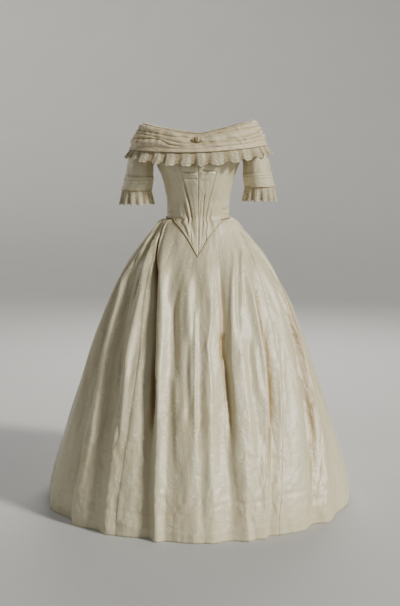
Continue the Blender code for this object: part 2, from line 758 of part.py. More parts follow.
def build_pipings(group, silk):
    """Build the pipings of the waist, the bertha and the neck."""
    waist = []
    for angle in waist_piping_angles():
        seam = figure_point(angle, seam_height(angle))
        above = figure_point(angle, seam_height(angle) + PIPING_STEP) - seam
        below = seam - figure_point(angle, seam_height(angle) - PIPING_STEP)
        side = figure_point(angle + 0.5, seam_height(angle + 0.5)) - seam
        upper, lower = side.cross(above).normalized(), side.cross(below).normalized()
        outward = (upper + lower).normalized()
        reach = (PIPING_RADIUS + 2.0 * SEAM_GAP) / max(0.5, outward.dot(upper))
        waist.append(seam + outward * reach)
    piping("waist_piping", waist, PIPING_RADIUS, silk, group)
    edge = []
    neck = []
    for i in range(4 * BERTHA_COLUMNS):
        angle = 90.0 * i / BERTHA_COLUMNS
        outward = normal_at(bertha_point, angle, BERTHA_PIPING_LEVEL, 0.5)
        low = bertha_point(angle, BERTHA_PIPING_LEVEL)
        edge.append(low + outward * (BERTHA_PIPING_RADIUS + SEAM_GAP))
        top = bertha_point(angle, 1.0)
        inward = normal_at(bertha_point, angle, 1.0, 0.5) * -(BERTHA_SILK / 2.0)
        upward = (top - bertha_point(angle, 1.0 - NECK_STEP)).normalized()
        neck.append(top + inward + upward * (NECK_BINDING_RADIUS + 2.0 * SEAM_GAP))
    piping("bertha_piping", edge, BERTHA_PIPING_RADIUS, silk, group)
    piping("neck_binding", neck, NECK_BINDING_RADIUS, silk, group)


def waist_piping_angles():
    """Return angles round the waist, closer together at the point."""
    half = [0.0, 3.0, 6.0, 9.0, 12.0, 16.0, 20.0, 25.0, 30.0, 36.0, 42.0, 50.0, 58.0, 66.0]
    half += [75.0 + 10.0 * i for i in range(11)]
    return half + [360.0 - angle for angle in reversed(half[1:])]


def build_knot(group, silk):
    """Build the knot of silk on the bertha's centre front."""
    bm = bmesh.new()
    bmesh.ops.create_uvsphere(bm, u_segments=12, v_segments=8, radius=1.0)
    outward = normal_at(bertha_point, 0.0, KNOT_LEVEL, 0.5)
    place = bertha_point(0.0, KNOT_LEVEL) + outward * (KNOT_SIZE[1] + KNOT_STAND)
    for vert in bm.verts:
        x, y, z = vert.co
        tied = KNOT_PINCH + (1.0 - KNOT_PINCH) * min(1.0, abs(x) / KNOT_PINCH_HALF)
        vert.co = Vector((x * KNOT_SIZE[0], y * KNOT_SIZE[1] * tied, z * KNOT_SIZE[2] * tied))
        vert.co += place
    return new_object("bertha_knot", bm, silk, group)


def main():
    """Build the whole dress."""
    clear_scene()
    dress = collection("wedding_dress")
    silk = finish("ivory_silk", (0.74, 0.68, 0.55), 0.42)
    draped = finish("ivory_silk_draped", (0.72, 0.65, 0.51), 0.45)
    lace = finish("ivory_lace", (0.70, 0.62, 0.48), 0.80)
    trim = finish("silk_piping", (0.70, 0.62, 0.46), 0.50)
    build_skirt(dress, silk)
    build_bodice(dress, silk)
    build_bertha(dress, draped)
    build_ruffle(dress, lace)
    build_sleeves(dress, silk, lace)
    build_pipings(dress, trim)
    build_knot(dress, draped)


main()
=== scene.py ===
"""Looks of an ivory silk wedding dress of the 1840s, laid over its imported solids.

Metres, +Z up, the front facing -Y, the origin at the centre of the waist.
Heights in the tables are above the hem.  Angles are degrees from the centre
front and grow towards +X.  Crease depths and widths are in millimetres.
"""

import logging
import math
from dataclasses import dataclass, field, replace
from enum import Enum
from functools import cached_property
from typing import Callable, NamedTuple

import bmesh
import bpy
import numpy as np
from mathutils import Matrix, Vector


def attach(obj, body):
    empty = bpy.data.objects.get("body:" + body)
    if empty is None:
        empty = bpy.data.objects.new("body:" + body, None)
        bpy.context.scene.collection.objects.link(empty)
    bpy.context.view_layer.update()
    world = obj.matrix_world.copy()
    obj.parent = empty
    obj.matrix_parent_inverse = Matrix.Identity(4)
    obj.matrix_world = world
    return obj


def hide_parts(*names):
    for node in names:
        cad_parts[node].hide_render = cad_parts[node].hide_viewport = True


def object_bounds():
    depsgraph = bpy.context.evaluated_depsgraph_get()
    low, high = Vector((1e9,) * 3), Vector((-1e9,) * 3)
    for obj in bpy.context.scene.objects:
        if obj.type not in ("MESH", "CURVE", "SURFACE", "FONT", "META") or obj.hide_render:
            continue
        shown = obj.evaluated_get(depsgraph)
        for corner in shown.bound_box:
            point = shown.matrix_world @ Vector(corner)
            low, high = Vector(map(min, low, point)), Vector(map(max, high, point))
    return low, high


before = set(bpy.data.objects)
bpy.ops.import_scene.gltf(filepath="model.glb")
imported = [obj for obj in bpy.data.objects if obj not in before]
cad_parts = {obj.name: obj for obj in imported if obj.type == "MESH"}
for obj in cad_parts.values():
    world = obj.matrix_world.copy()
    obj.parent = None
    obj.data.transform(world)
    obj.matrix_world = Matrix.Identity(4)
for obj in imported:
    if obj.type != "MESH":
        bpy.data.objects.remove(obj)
CAD_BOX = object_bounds()

Array = np.ndarray
Surface = Callable[[Array, Array], Array]
Relief = Callable[[Array, Array], Array]
Colour = tuple[float, float, float]
Span = tuple[float, float]
Socket = bpy.types.NodeSocket
Material = bpy.types.Material

MM = 0.001
BODY = "root"
UV_NAME = "flat_cloth"
HOLLOW_NAME = "hollow"
ALL_ROUND = (-180.0, 180.0)
QUARTER = 90.0
QUARTER_NAMES = ("front_right", "back_right", "back_left", "front_left")
QUARTER_EDGE = (0.03, 0.10)
NORMAL_STEP = 0.5
# How much painted shade the bottom of a plain crease or fold gets.
FOLD_SHADE = 0.30
OVAL_EDGE = (1.05, 0.75)
CORD_ROUNDNESS = 2
SEWN = 1e-6
SMALLEST = 1e-12
log = logging.getLogger("wedding_dress")


class Slot(Enum):
    """The finishes that the record names."""

    DAMASK = "silk_damask"
    DRAPED = "draped_silk"
    LACE = "lace"
    PIPING = "silk_piping"


class Held(Enum):
    """How a sheet of cloth is held."""

    HUNG = "hung"
    STRETCHED = "stretched"
    DRAPED = "draped"
    GATHERED = "gathered"


class Run(Enum):
    """Which way a crease runs on the cloth."""

    UP = "up"
    ROUND = "round"


class Side(Enum):
    """The side of the dress that a sleeve is on, +X being right."""

    RIGHT = "right"
    LEFT = "left"


def ease(t: Array) -> Array:
    """Return a smooth step from 0 to 1."""
    t = np.clip(t, 0.0, 1.0)
    return t * t * (3.0 - 2.0 * t)


def wrap(angle: Array) -> Array:
    """Return angles between -180 and 180 degrees."""
    return (angle + 180.0) % 360.0 - 180.0


def unit(vectors: Array) -> Array:
    """Return vectors brought to length 1."""
    return vectors / np.maximum(np.linalg.norm(vectors, axis=-1, keepdims=True), SMALLEST)


def outward_of(angle: Array, rise: float = 0.0) -> Array:
    """Return directions away from the dress's axis.

    Args:
        angle: Angles from the centre front, in degrees.
        rise: How much the directions point upwards before they get length 1.

    Returns:
        Unit vectors, one for each angle.
    """
    radians = np.radians(angle)
    return unit(np.stack([np.sin(radians), -np.cos(radians), np.full_like(radians, rise)], axis=-1))


def smooth_relief(u: Array, v: Array) -> Array:
    """Return no lift, for cloth whose surface has all its shape."""
    return np.zeros(u.shape)


def normals_of(points: Array) -> Array:
    """Return the outward directions of a grid of points on a surface."""
    return unit(np.cross(np.gradient(points, axis=1), np.gradient(points, axis=0)))


def normal_at(surface: Surface, u: Array, v: Array, step_u: float, step_v: float = 0.003) -> Array:
    """Return the outward directions of a surface at single places.

    Args:
        surface: The surface to read.
        u: Places round it.
        v: Places up it.
        step_u: Small step round it.
        step_v: Small step up it.

    Returns:
        Unit vectors, one for each place.
    """
    along = surface(u + step_u, v) - surface(u - step_u, v)
    up = surface(u, v + step_v) - surface(u, v - step_v)
    return unit(np.cross(along, up))


class SmoothColumn:
    """A smooth curve through two columns of a table, which never overshoots."""

    def __init__(self, keys: tuple[float, ...], values: tuple[float, ...]) -> None:
        """Work out the slopes.

        Args:
            keys: The first column, growing.
            values: The second column.
        """
        self.keys = np.asarray(keys, float)
        self.values = np.asarray(values, float)
        chords = np.diff(self.values) / np.diff(self.keys)
        product = chords[:-1] * chords[1:]
        total = np.where(product > 0.0, chords[:-1] + chords[1:], 1.0)
        inner = np.where(product > 0.0, 2.0 * product / total, 0.0)
        self.slopes = np.concatenate([chords[:1], inner, chords[-1:]])

    def __call__(self, at: Array) -> Array:
        """Return the curve's values."""
        at = np.clip(at, self.keys[0], self.keys[-1])
        index = np.clip(np.searchsorted(self.keys, at, side="right") - 1, 0, len(self.keys) - 2)
        width = self.keys[index + 1] - self.keys[index]
        t = (at - self.keys[index]) / width
        rise = 3.0 * t * t - 2.0 * t ** 3
        leave = (t ** 3 - 2.0 * t * t + t) * width * self.slopes[index]
        arrive = (t ** 3 - t * t) * width * self.slopes[index + 1]
        return self.values[index] * (1.0 - rise) + self.values[index + 1] * rise + leave + arrive


@dataclass(frozen=True)
class Crease:
    """A soft trough or ridge at given places.

    Stations are height and angle for a crease that runs up, and angle and
    height for one that runs round.  The two widths are on its side of the
    smaller place and of the larger one.  Its painted shade is how strongly
    shade is painted into its bottom, and fade the share of its length in
    which each end rises.
    """

    run: Run
    depth: float
    before: float
    after: float
    stations: tuple[tuple[float, float], ...]
    painted_shade: float = 0.0
    fade: float = 0.22

    def height(self, angle: Array, height: Array, radius: Array) -> Array:
        """Return how far the crease lifts the cloth, in metres."""
        return self.depth * MM * self.share(angle, height, radius)

    def painted_shade_at(self, angle: Array, height: Array, radius: Array) -> Array:
        """Return how much painted shade darkens the cloth in the crease."""
        return self.painted_shade * self.share(angle, height, radius)

    def share(self, angle: Array, height: Array, radius: Array) -> Array:
        """Return how far places lie in the crease.

        Args:
            angle: Angles of the places, in degrees.
            height: Heights of the places above the hem.
            radius: Distances of the places from the dress's axis.

        Returns:
            Shares from 0 to 1.
        """
        keys, places = zip(*self.stations)
        if self.run is Run.UP:
            along, offset_scale = height, np.radians(1.0) * radius
            offset = wrap(angle - SmoothColumn(keys, places)(along)) * offset_scale
        else:
            along = wrap(angle)
            offset = height - SmoothColumn(keys, places)(along)
        fade = self.fade * (keys[-1] - keys[0])
        there = ease((along - keys[0]) / fade) * ease((keys[-1] - along) / fade)
        width = np.where(offset < 0.0, self.before, self.after) * MM
        return there * np.exp(-((offset / width) ** 2))


@dataclass(frozen=True)
class Crinkles:
    """Many small creases drawn with a fixed seed.

    Angles and heights give the stretch of cloth that they lie on.  Slant is
    their mean turn from upright, in degrees, and stray how far it varies.  Lift
    bounds their heights as shares of the depth, bow is how far they curve, and
    reach how many widths away one is still felt.
    """

    seed: int
    count: int
    angles: tuple[float, float]
    heights: tuple[float, float]
    lengths: tuple[float, float]
    widths: tuple[float, float]
    depth: float
    slant: float
    stray: float
    lift: Span = (-1.0, 0.8)
    bow: float = 0.25
    reach: float = 3.0

    def height(self, angle: Array, height: Array, radius: Array) -> Array:
        """Return how far the crinkles lift the cloth, in metres.

        Args:
            angle: Angles of the places, in degrees.
            height: Heights of the places above the hem.
            radius: Distances of the places from the dress's axis.

        Returns:
            The lifts.
        """
        draw = np.random.default_rng(self.seed)
        lift = np.zeros(np.shape(angle))
        for _ in range(self.count):
            middle = draw.uniform(*self.angles)
            level = draw.uniform(*self.heights)
            half = draw.uniform(*self.lengths) * MM / 2.0
            width = draw.uniform(*self.widths) * MM
            turn = math.radians(self.slant + draw.normal(0.0, self.stray))
            rise = self.depth * MM * draw.uniform(*self.lift)
            bend = draw.uniform(-self.bow, self.bow)
            across = np.radians(wrap(angle - middle)) * radius
            felt = half + self.reach * width
            near = (np.abs(across) < felt) & (np.abs(height - level) < felt)
            side, up = across[near], height[near] - level
            along = side * math.sin(turn) + up * math.cos(turn)
            offset = side * math.cos(turn) - up * math.sin(turn) + bend * along * along / half
            ends = np.clip(1.0 - (along / half) ** 2, 0.0, 1.0) ** 2
            lift[near] += rise * ends * np.exp(-((offset / width) ** 2))
        return lift


def lift_of(parts: tuple[Crease | Crinkles, ...], angle: Array, height: Array, radius: Array) -> Array:
    """Return how far creases or crinkles lift the cloth in all, in metres."""
    return sum(part.height(angle, height, radius) for part in parts)


class Grain(NamedTuple):
    """A soft noise: its patches to the metre across and up the cloth, and its detail."""

    across: float
    up: float
    detail: float = 3.0


class Leaf(NamedTuple):
    """One oval of a woven sprig: its middle, length and width in mm, and its turn."""

    x: float
    y: float
    length: float
    width: float
    turn: float


class FlatCut(NamedTuple):
    """A sheet's cut: width and length of the cloth, and the area that is left of it."""

    width: float
    length: float
    area: float


@dataclass
class Wall:
    """A laid sheet of cloth: its outer points, flat places and how hollow it lies, which sets its
    painted shade.
    """

    points: Array
    flat: Array
    hollow: Array


def lay_cloth(
    surface: Surface, relief: Relief, columns: Array, rows: Array, hollow_depth: float
) -> Wall:
    """Lay a sheet of cloth on a surface.

    One column more on each side is worked out and dropped again, so that
    neighbouring pieces share their slopes at a seam.

    Args:
        surface: The worn form.
        relief: Lifts of the creases over the form.
        columns: Places round the form.
        rows: Places up the form.
        hollow_depth: The depth at which a fold counts as fully hollow.

    Returns:
        The laid sheet.
    """
    before, after = 2.0 * columns[0] - columns[1], 2.0 * columns[-1] - columns[-2]
    u, v = np.meshgrid(np.concatenate([[before], columns, [after]]), rows)
    base = surface(u, v)
    lift = relief(u, v)
    points = (base + normals_of(base) * lift[..., None])[:, 1:-1]
    base = base[:, 1:-1]
    along = np.linalg.norm(np.diff(base, axis=1), axis=-1)
    across = np.concatenate([np.zeros((len(rows), 1)), np.cumsum(along, axis=1)], axis=1)
    across -= across[:, [len(columns) // 2]]
    risen = np.linalg.norm(np.diff(base, axis=0), axis=-1)
    up = np.concatenate([np.zeros((1, len(columns))), np.cumsum(risen, axis=0)], axis=0)
    hollow = ease(-lift[:, 1:-1] / hollow_depth)
    return Wall(points, np.stack([across, up], axis=-1), hollow)


def seamed_columns(start: float, end: float, count: int, edge: Span) -> Array:
    """Return the columns of a piece, closer together at its two seams.

    Args:
        start: Place of its first seam.
        end: Place of its second seam.
        count: Number of even columns between and on the seams.
        edge: Distances from a seam of the two columns that take its place.

    Returns:
        Places of the columns.
    """
    close = np.array(edge)
    return np.concatenate([start + close, np.linspace(start, end, count)[1:-1], end - close[::-1]])


def mark_cloth(mesh: bpy.types.Mesh, flat: Array, hollow: Array) -> None:
    """Make a mesh smooth and mark its flat places and how hollow it lies.

    Args:
        mesh: The mesh.
        flat: The flat place of each point, in metres, kept as its UV map.
        hollow: The hollowness of each point, kept as an attribute that sets its painted shade.
    """
    corners = np.empty(len(mesh.loops), np.int32)
    mesh.loops.foreach_get("vertex_index", corners)
    layer = mesh.uv_layers.new(name=UV_NAME)
    layer.data.foreach_set("uv", flat[corners].astype(np.float32).ravel())
    attribute = mesh.attributes.new(HOLLOW_NAME, "FLOAT", "POINT")
    attribute.data.foreach_set("value", hollow.astype(np.float32))
    mesh.shade_smooth()


def sew_mesh(name: str, wall: Wall, closed: bool) -> bpy.types.Mesh:
    """Make the mesh of a laid sheet from a grid.

    Args:
        name: Name of the mesh.
        wall: The laid sheet.
        closed: True for a tube, whose two side edges are sewn together.

    Returns:
        The mesh, smooth, with its flat places as a UV map.
    """
    tall, wide = wall.points.shape[:2]
    mesh = bpy.data.meshes.new(name)
    bm = bmesh.new()
    bmesh.ops.create_grid(bm, x_segments=wide - 1, y_segments=tall - 1, size=0.5)
    bm.to_mesh(mesh)
    bm.free()
    places = np.empty(len(mesh.vertices) * 3, np.float32)
    mesh.vertices.foreach_get("co", places)
    column = np.rint((places[0::3] + 0.5) * (wide - 1)).astype(int)
    row = np.rint((places[1::3] + 0.5) * (tall - 1)).astype(int)
    mesh.vertices.foreach_set("co", wall.points[row, column].astype(np.float32).ravel())
    mark_cloth(mesh, wall.flat[row, column], wall.hollow[row, column])
    if closed:
        bm = bmesh.new()
        bm.from_mesh(mesh)
        bmesh.ops.remove_doubles(bm, verts=bm.verts[:], dist=SEWN)
        bm.to_mesh(mesh)
        bm.free()
    mesh.update()
    return mesh


def hang(piece: bpy.types.Object, slot: Slot, *nodes: str) -> bpy.types.Object:
    """Put a finished piece on the dress in place of its solids.

    Args:
        piece: The finished piece.
        slot: The record's slot of its finish; not used.
        nodes: Names of the solids that it stands for.

    Returns:
        The piece.
    """
    bpy.context.scene.collection.objects.link(piece)
    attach(piece, BODY)
    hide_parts(*nodes)
    log.info("%s stands for %s", piece.name, ", ".join(nodes))
    return piece


def hang_cloth(
    node: str, wall: Wall, thickness: float, finish: Material, slot: Slot,
    closed: bool = False,
) -> bpy.types.Object:
    """Make a sheet of cloth with a real wall and put it on the dress.

    Args:
        node: The solid that the sheet stands for.
        wall: The laid sheet.
        thickness: Thickness of the cloth.
        finish: Its material.
        slot: The record's slot of that material.
        closed: True for a tube.

    Returns:
        The new piece.
    """
    mesh = sew_mesh(f"cloth_{node}", wall, closed)
    mesh.materials.append(finish)
    piece = bpy.data.objects.new(f"cloth_{node}", mesh)
    thicken = piece.modifiers.new("wall", "SOLIDIFY")
    thicken.thickness = thickness
    thicken.offset = -1.0
    hang(piece, slot, node)
    area = sum(face.area for face in mesh.polygons)
    log.info("%s: %d faces, %.4f square metres", piece.name, len(mesh.polygons), area)
    return piece


def hang_cord(
    node: str, points: Array, radius: float, finish: Material, slot: Slot
) -> bpy.types.Object:
    """Make a round piping as a closed ring and put it on the dress.

    Args:
        node: The solid that the piping stands for.
        points: Points round its ring.
        radius: Its radius.
        finish: Its material.
        slot: The record's slot of that material.

    Returns:
        The new piece.
    """
    curve = bpy.data.curves.new(f"cord_{node}", "CURVE")
    curve.dimensions = "3D"
    curve.bevel_depth = radius
    curve.bevel_resolution = CORD_ROUNDNESS
    spline = curve.splines.new("POLY")
    spline.points.add(len(points) - 1)
    for place, point in zip(spline.points, points):
        place.co = (*point, 1.0)
    spline.use_cyclic_u = True
    curve.materials.append(finish)
    return hang(bpy.data.objects.new(f"cord_{node}", curve), slot, node)


@dataclass
class Shader:
    """Writes the nodes of one material."""

    name: str

    def __post_init__(self) -> None:
        """Start the material with its one surface node."""
        self.material = bpy.data.materials.new(self.name)
        self.material.use_nodes = True
        self.tree = self.material.node_tree
        self.surface = self.tree.nodes["Principled BSDF"]

    def node(self, kind: str, **settings: object) -> bpy.types.Node:
        """Return a new node with its settings made."""
        made = self.tree.nodes.new(kind)
        for key, value in settings.items():
            setattr(made, key, value)
        return made

    def feed(self, socket: Socket, source: object) -> None:
        """Link a socket to another, or set its value."""
        if isinstance(source, Socket):
            self.tree.links.new(source, socket)
        else:
            socket.default_value = source

    def finish(self, inputs: dict[str, object]) -> None:
        """Link or set the surface's named inputs."""
        for name, source in inputs.items():
            self.feed(self.surface.inputs[name], source)

    def math(self, operation: str, *sources: object) -> Socket:
        """Return the result of a math node."""
        made = self.node("ShaderNodeMath", operation=operation)
        for socket, source in zip(made.inputs, sources):
            self.feed(socket, source)
        return made.outputs[0]

    def step(self, value: Socket, low: float, high: float) -> Socket:
        """Return 0 up to low, 1 from high on, and a smooth step between; high may be the smaller."""
        made = self.node("ShaderNodeMapRange", interpolation_type="SMOOTHSTEP")
        self.feed(made.inputs["Value"], value)
        made.inputs["From Min"].default_value = min(low, high)
        made.inputs["From Max"].default_value = max(low, high)
        made.inputs["To Min"].default_value = 0.0 if low < high else 1.0
        made.inputs["To Max"].default_value = 1.0 if low < high else 0.0
        return made.outputs["Result"]

    def mix(self, share: object, first: object, second: object) -> Socket:
        """Return a mix of two colours."""
        made = self.node("ShaderNodeMix", data_type="RGBA")
        self.feed(made.inputs["Factor"], share)
        for key, source in (("A", first), ("B", second)):
            socket = next(s for s in made.inputs if s.name == key and s.type == "RGBA")
            self.feed(socket, source if isinstance(source, Socket) else (*source, 1.0))
        return next(s for s in made.outputs if s.type == "RGBA")

    def flat_place(self) -> Socket:
        """Return the place on the cloth as it was cut, in metres."""
        return self.node("ShaderNodeUVMap", uv_map=UV_NAME).outputs["UV"]

    def object_place(self) -> Socket:
        """Return the place in the dress's own frame."""
        return self.node("ShaderNodeTexCoord").outputs["Object"]

    def hollow(self) -> Socket:
        """Return how deep in a fold the cloth lies, which sets its painted shade."""
        return self.node("ShaderNodeAttribute", attribute_name=HOLLOW_NAME).outputs["Fac"]

    def noise(self, place: Socket, grain: Grain) -> Socket:
        """Return soft noise with a grain's size and detail.

        Args:
            place: The place that it is read at, in metres.
            grain: Its patches to the metre and its detail.

        Returns:
            The noise, mostly between 0.3 and 0.7.
        """
        stretched = self.node("ShaderNodeMapping")
        self.feed(stretched.inputs["Vector"], place)
        stretched.inputs["Scale"].default_value = (grain.across, grain.up, grain.across)
        made = self.node("ShaderNodeTexNoise")
        self.feed(made.inputs["Vector"], stretched.outputs["Vector"])
        made.inputs["Scale"].default_value = 1.0
        made.inputs["Detail"].default_value = grain.detail
        return made.outputs["Fac"]

    def oval(self, place: Socket, leaf: Leaf) -> Socket:
        """Return a soft-edged oval in the plane of the cloth."""
        made = self.node("ShaderNodeMapping", vector_type="TEXTURE")
        self.feed(made.inputs["Vector"], place)
        made.inputs["Location"].default_value = (leaf.x * MM, leaf.y * MM, 0.0)
        made.inputs["Rotation"].default_value = (0.0, 0.0, math.radians(leaf.turn))
        made.inputs["Scale"].default_value = (0.5 * leaf.length * MM, 0.5 * leaf.width * MM, 1.0)
        length = self.node("ShaderNodeVectorMath", operation="LENGTH")
        self.feed(length.inputs[0], made.outputs["Vector"])
        return self.step(length.outputs["Value"], *OVAL_EDGE)

    def ovals(self, place: Socket, leaves: tuple[Leaf, ...]) -> Socket:
        """Return several ovals as one shape."""
        shape = self.oval(place, leaves[0])
        for leaf in leaves[1:]:
            shape = self.math("MAXIMUM", shape, self.oval(place, leaf))
        return shape

    def half_drop(
        self, place: Socket, wide: float, tall: float
    ) -> Socket:
        """Return places within the cells of a half-drop repeat, mirrored in every other column.

        Args:
            place: The place on the flat cloth.
            wide: Width of a cell.
            tall: Height of a cell.

        Returns:
            The place from the middle of its cell, in metres.
        """
        parts = self.node("ShaderNodeSeparateXYZ")
        self.feed(parts.inputs[0], place)
        across = self.math("DIVIDE", parts.outputs["X"], wide)
        number = self.math("FLOOR", across)
        odd = self.math("FLOORED_MODULO", number, 2.0)
        side = self.math("MULTIPLY_ADD", odd, -2.0, 1.0)
        inner = self.math("SUBTRACT", self.math("FRACT", across), 0.5)
        risen = self.math("MULTIPLY_ADD", odd, 0.5, self.math("DIVIDE", parts.outputs["Y"], tall))
        upper = self.math("SUBTRACT", self.math("FRACT", risen), 0.5)
        joined = self.node("ShaderNodeCombineXYZ")
        self.feed(joined.inputs["X"], self.math("MULTIPLY", self.math("MULTIPLY", inner, wide), side))
        self.feed(joined.inputs["Y"], self.math("MULTIPLY", upper, tall))
        return joined.outputs["Vector"]

    def bump(self, *layers: tuple[Socket, float]) -> None:
        """Lay bump over the surface from heights and their depths in metres."""
        normal = None
        for height, depth in layers:
            made = self.node("ShaderNodeBump")
            made.inputs["Strength"].default_value = 1.0
            made.inputs["Distance"].default_value = depth
            self.feed(made.inputs["Height"], height)
            if normal is not None:
                self.feed(made.inputs["Normal"], normal)
            normal = made.outputs["Normal"]
        self.feed(self.surface.inputs["Normal"], normal)


@dataclass(frozen=True)
class SilkDamask:
    """Ivory silk woven with small sprigs, their faces smoother than the ground.

    Slubs are its thicker threads, swells and puckers its soft unevenness, and
    patches its aged stretches.  Fold and deep are colours of painted shade that
    the hollow attribute lays in creases and folds.  A span is where a noise or
    the painted shade starts to show and where it shows in full, and depths are
    those of the bump.
    """

    name: str = "silk_damask"
    ground: Colour = (0.705, 0.655, 0.485)
    figure: Colour = (0.88, 0.83, 0.68)
    aged: Colour = (0.60, 0.495, 0.315)
    # Painted shade: tan in creases and fold hollows, and dark brown in the deepest.
    fold: Colour = (0.41, 0.305, 0.15)
    deep: Colour = (0.09, 0.055, 0.025)
    figure_share: float = 1.0
    ground_roughness: float = 0.36
    lustre: float = 0.75
    figure_roughness: float = 0.22
    figure_tone: float = 0.7
    figure_depth: float = 0.0006
    sheen: float = 0.10
    sheen_roughness: float = 0.4
    sheen_tint: Colour = (1.0, 0.95, 0.85)
    torn: Grain = Grain(420.0, 160.0, 2.0)
    torn_span: Span = (0.30, 0.55)
    slub: Grain = Grain(260.0, 7.0)
    slub_span: Span = (0.40, 0.75)
    slub_share: float = 0.22
    slub_roughness: float = 0.10
    slub_depth: float = 0.0006
    weft: Grain = Grain(9.0, 520.0, 2.0)
    weft_depth: float = 0.0003
    patch: Grain = Grain(6.0, 6.0, 4.0)
    patch_span: Span = (0.45, 0.80)
    patch_share: float = 0.45
    swell: Grain = Grain(22.0, 4.0, 1.0)
    swell_depth: float = 0.008
    pucker: Grain = Grain(70.0, 45.0, 4.0)
    pucker_depth: float = 0.0018
    painted_fold_span: Span = (0.0, 0.65)
    painted_deep_span: Span = (0.60, 1.0)
    cell: Span = (0.082, 0.118)
    sprig: tuple[Leaf, ...] = (
        Leaf(0.0, -12.0, 30.0, 1.6, 78.0),
        Leaf(5.5, 8.0, 26.0, 1.6, 52.0),
        Leaf(-7.0, -4.0, 15.0, 5.0, 150.0),
        Leaf(7.5, -9.0, 15.0, 5.0, 28.0),
        Leaf(-8.5, -18.0, 13.0, 4.4, 140.0),
        Leaf(8.0, -23.0, 12.0, 4.0, 40.0),
        Leaf(-4.0, 8.0, 13.0, 4.6, 118.0),
        Leaf(14.0, 9.0, 12.0, 4.2, 10.0),
        Leaf(11.5, 22.0, 12.0, 6.0, 90.0),
        Leaf(17.0, 25.5, 10.0, 5.4, 20.0),
        Leaf(6.5, 26.0, 10.0, 5.4, 160.0),
        Leaf(11.8, 31.0, 8.0, 5.0, 90.0),
        Leaf(-19.0, 34.0, 9.0, 4.0, 30.0),
        Leaf(-24.0, 39.0, 8.0, 3.6, 100.0),
        Leaf(-14.0, 40.0, 8.0, 3.6, 150.0),
        Leaf(-20.0, 46.0, 7.0, 4.4, 80.0),
    )

    def material(self) -> Material:
        """Return the finish."""
        shader = Shader(self.name)
        flat = shader.flat_place()
        sprig = shader.ovals(shader.half_drop(flat, *self.cell), self.sprig)
        torn = shader.step(shader.noise(flat, self.torn), *self.torn_span)
        figure = shader.math("MULTIPLY", shader.math("MULTIPLY", sprig, torn), self.figure_share)
        slub = shader.noise(flat, self.slub)
        weft = shader.noise(flat, self.weft)
        patch = shader.step(shader.noise(shader.object_place(), self.patch), *self.patch_span)
        colour = shader.mix(shader.math("MULTIPLY", patch, self.patch_share), self.ground, self.aged)
        thick = shader.math("MULTIPLY", shader.step(slub, *self.slub_span), self.slub_share)
        colour = shader.mix(thick, colour, self.aged)
        colour = shader.mix(shader.math("MULTIPLY", figure, self.figure_tone), colour, self.figure)
        hollow = shader.hollow()
        # Painted shade in folds and creases, first tan, then dark brown.
        colour = shader.mix(shader.step(hollow, *self.painted_fold_span), colour, self.fold)
        colour = shader.mix(shader.step(hollow, *self.painted_deep_span), colour, self.deep)
        smoother = self.figure_roughness - self.ground_roughness
        rough = shader.math("MULTIPLY_ADD", figure, smoother, self.ground_roughness)
        rough = shader.math("MULTIPLY_ADD", slub, self.slub_roughness, rough)
        shader.finish({
            "Base Color": colour,
            "Roughness": rough,
            "Specular IOR Level": self.lustre,
            "Sheen Weight": self.sheen,
            "Sheen Roughness": self.sheen_roughness,
            "Sheen Tint": (*self.sheen_tint, 1.0),
        })
        shader.bump(
            (shader.noise(flat, self.swell), self.swell_depth),
            (shader.noise(flat, self.pucker), self.pucker_depth),
            (slub, self.slub_depth),
            (weft, self.weft_depth),
            (figure, self.figure_depth),
        )
        return shader.material


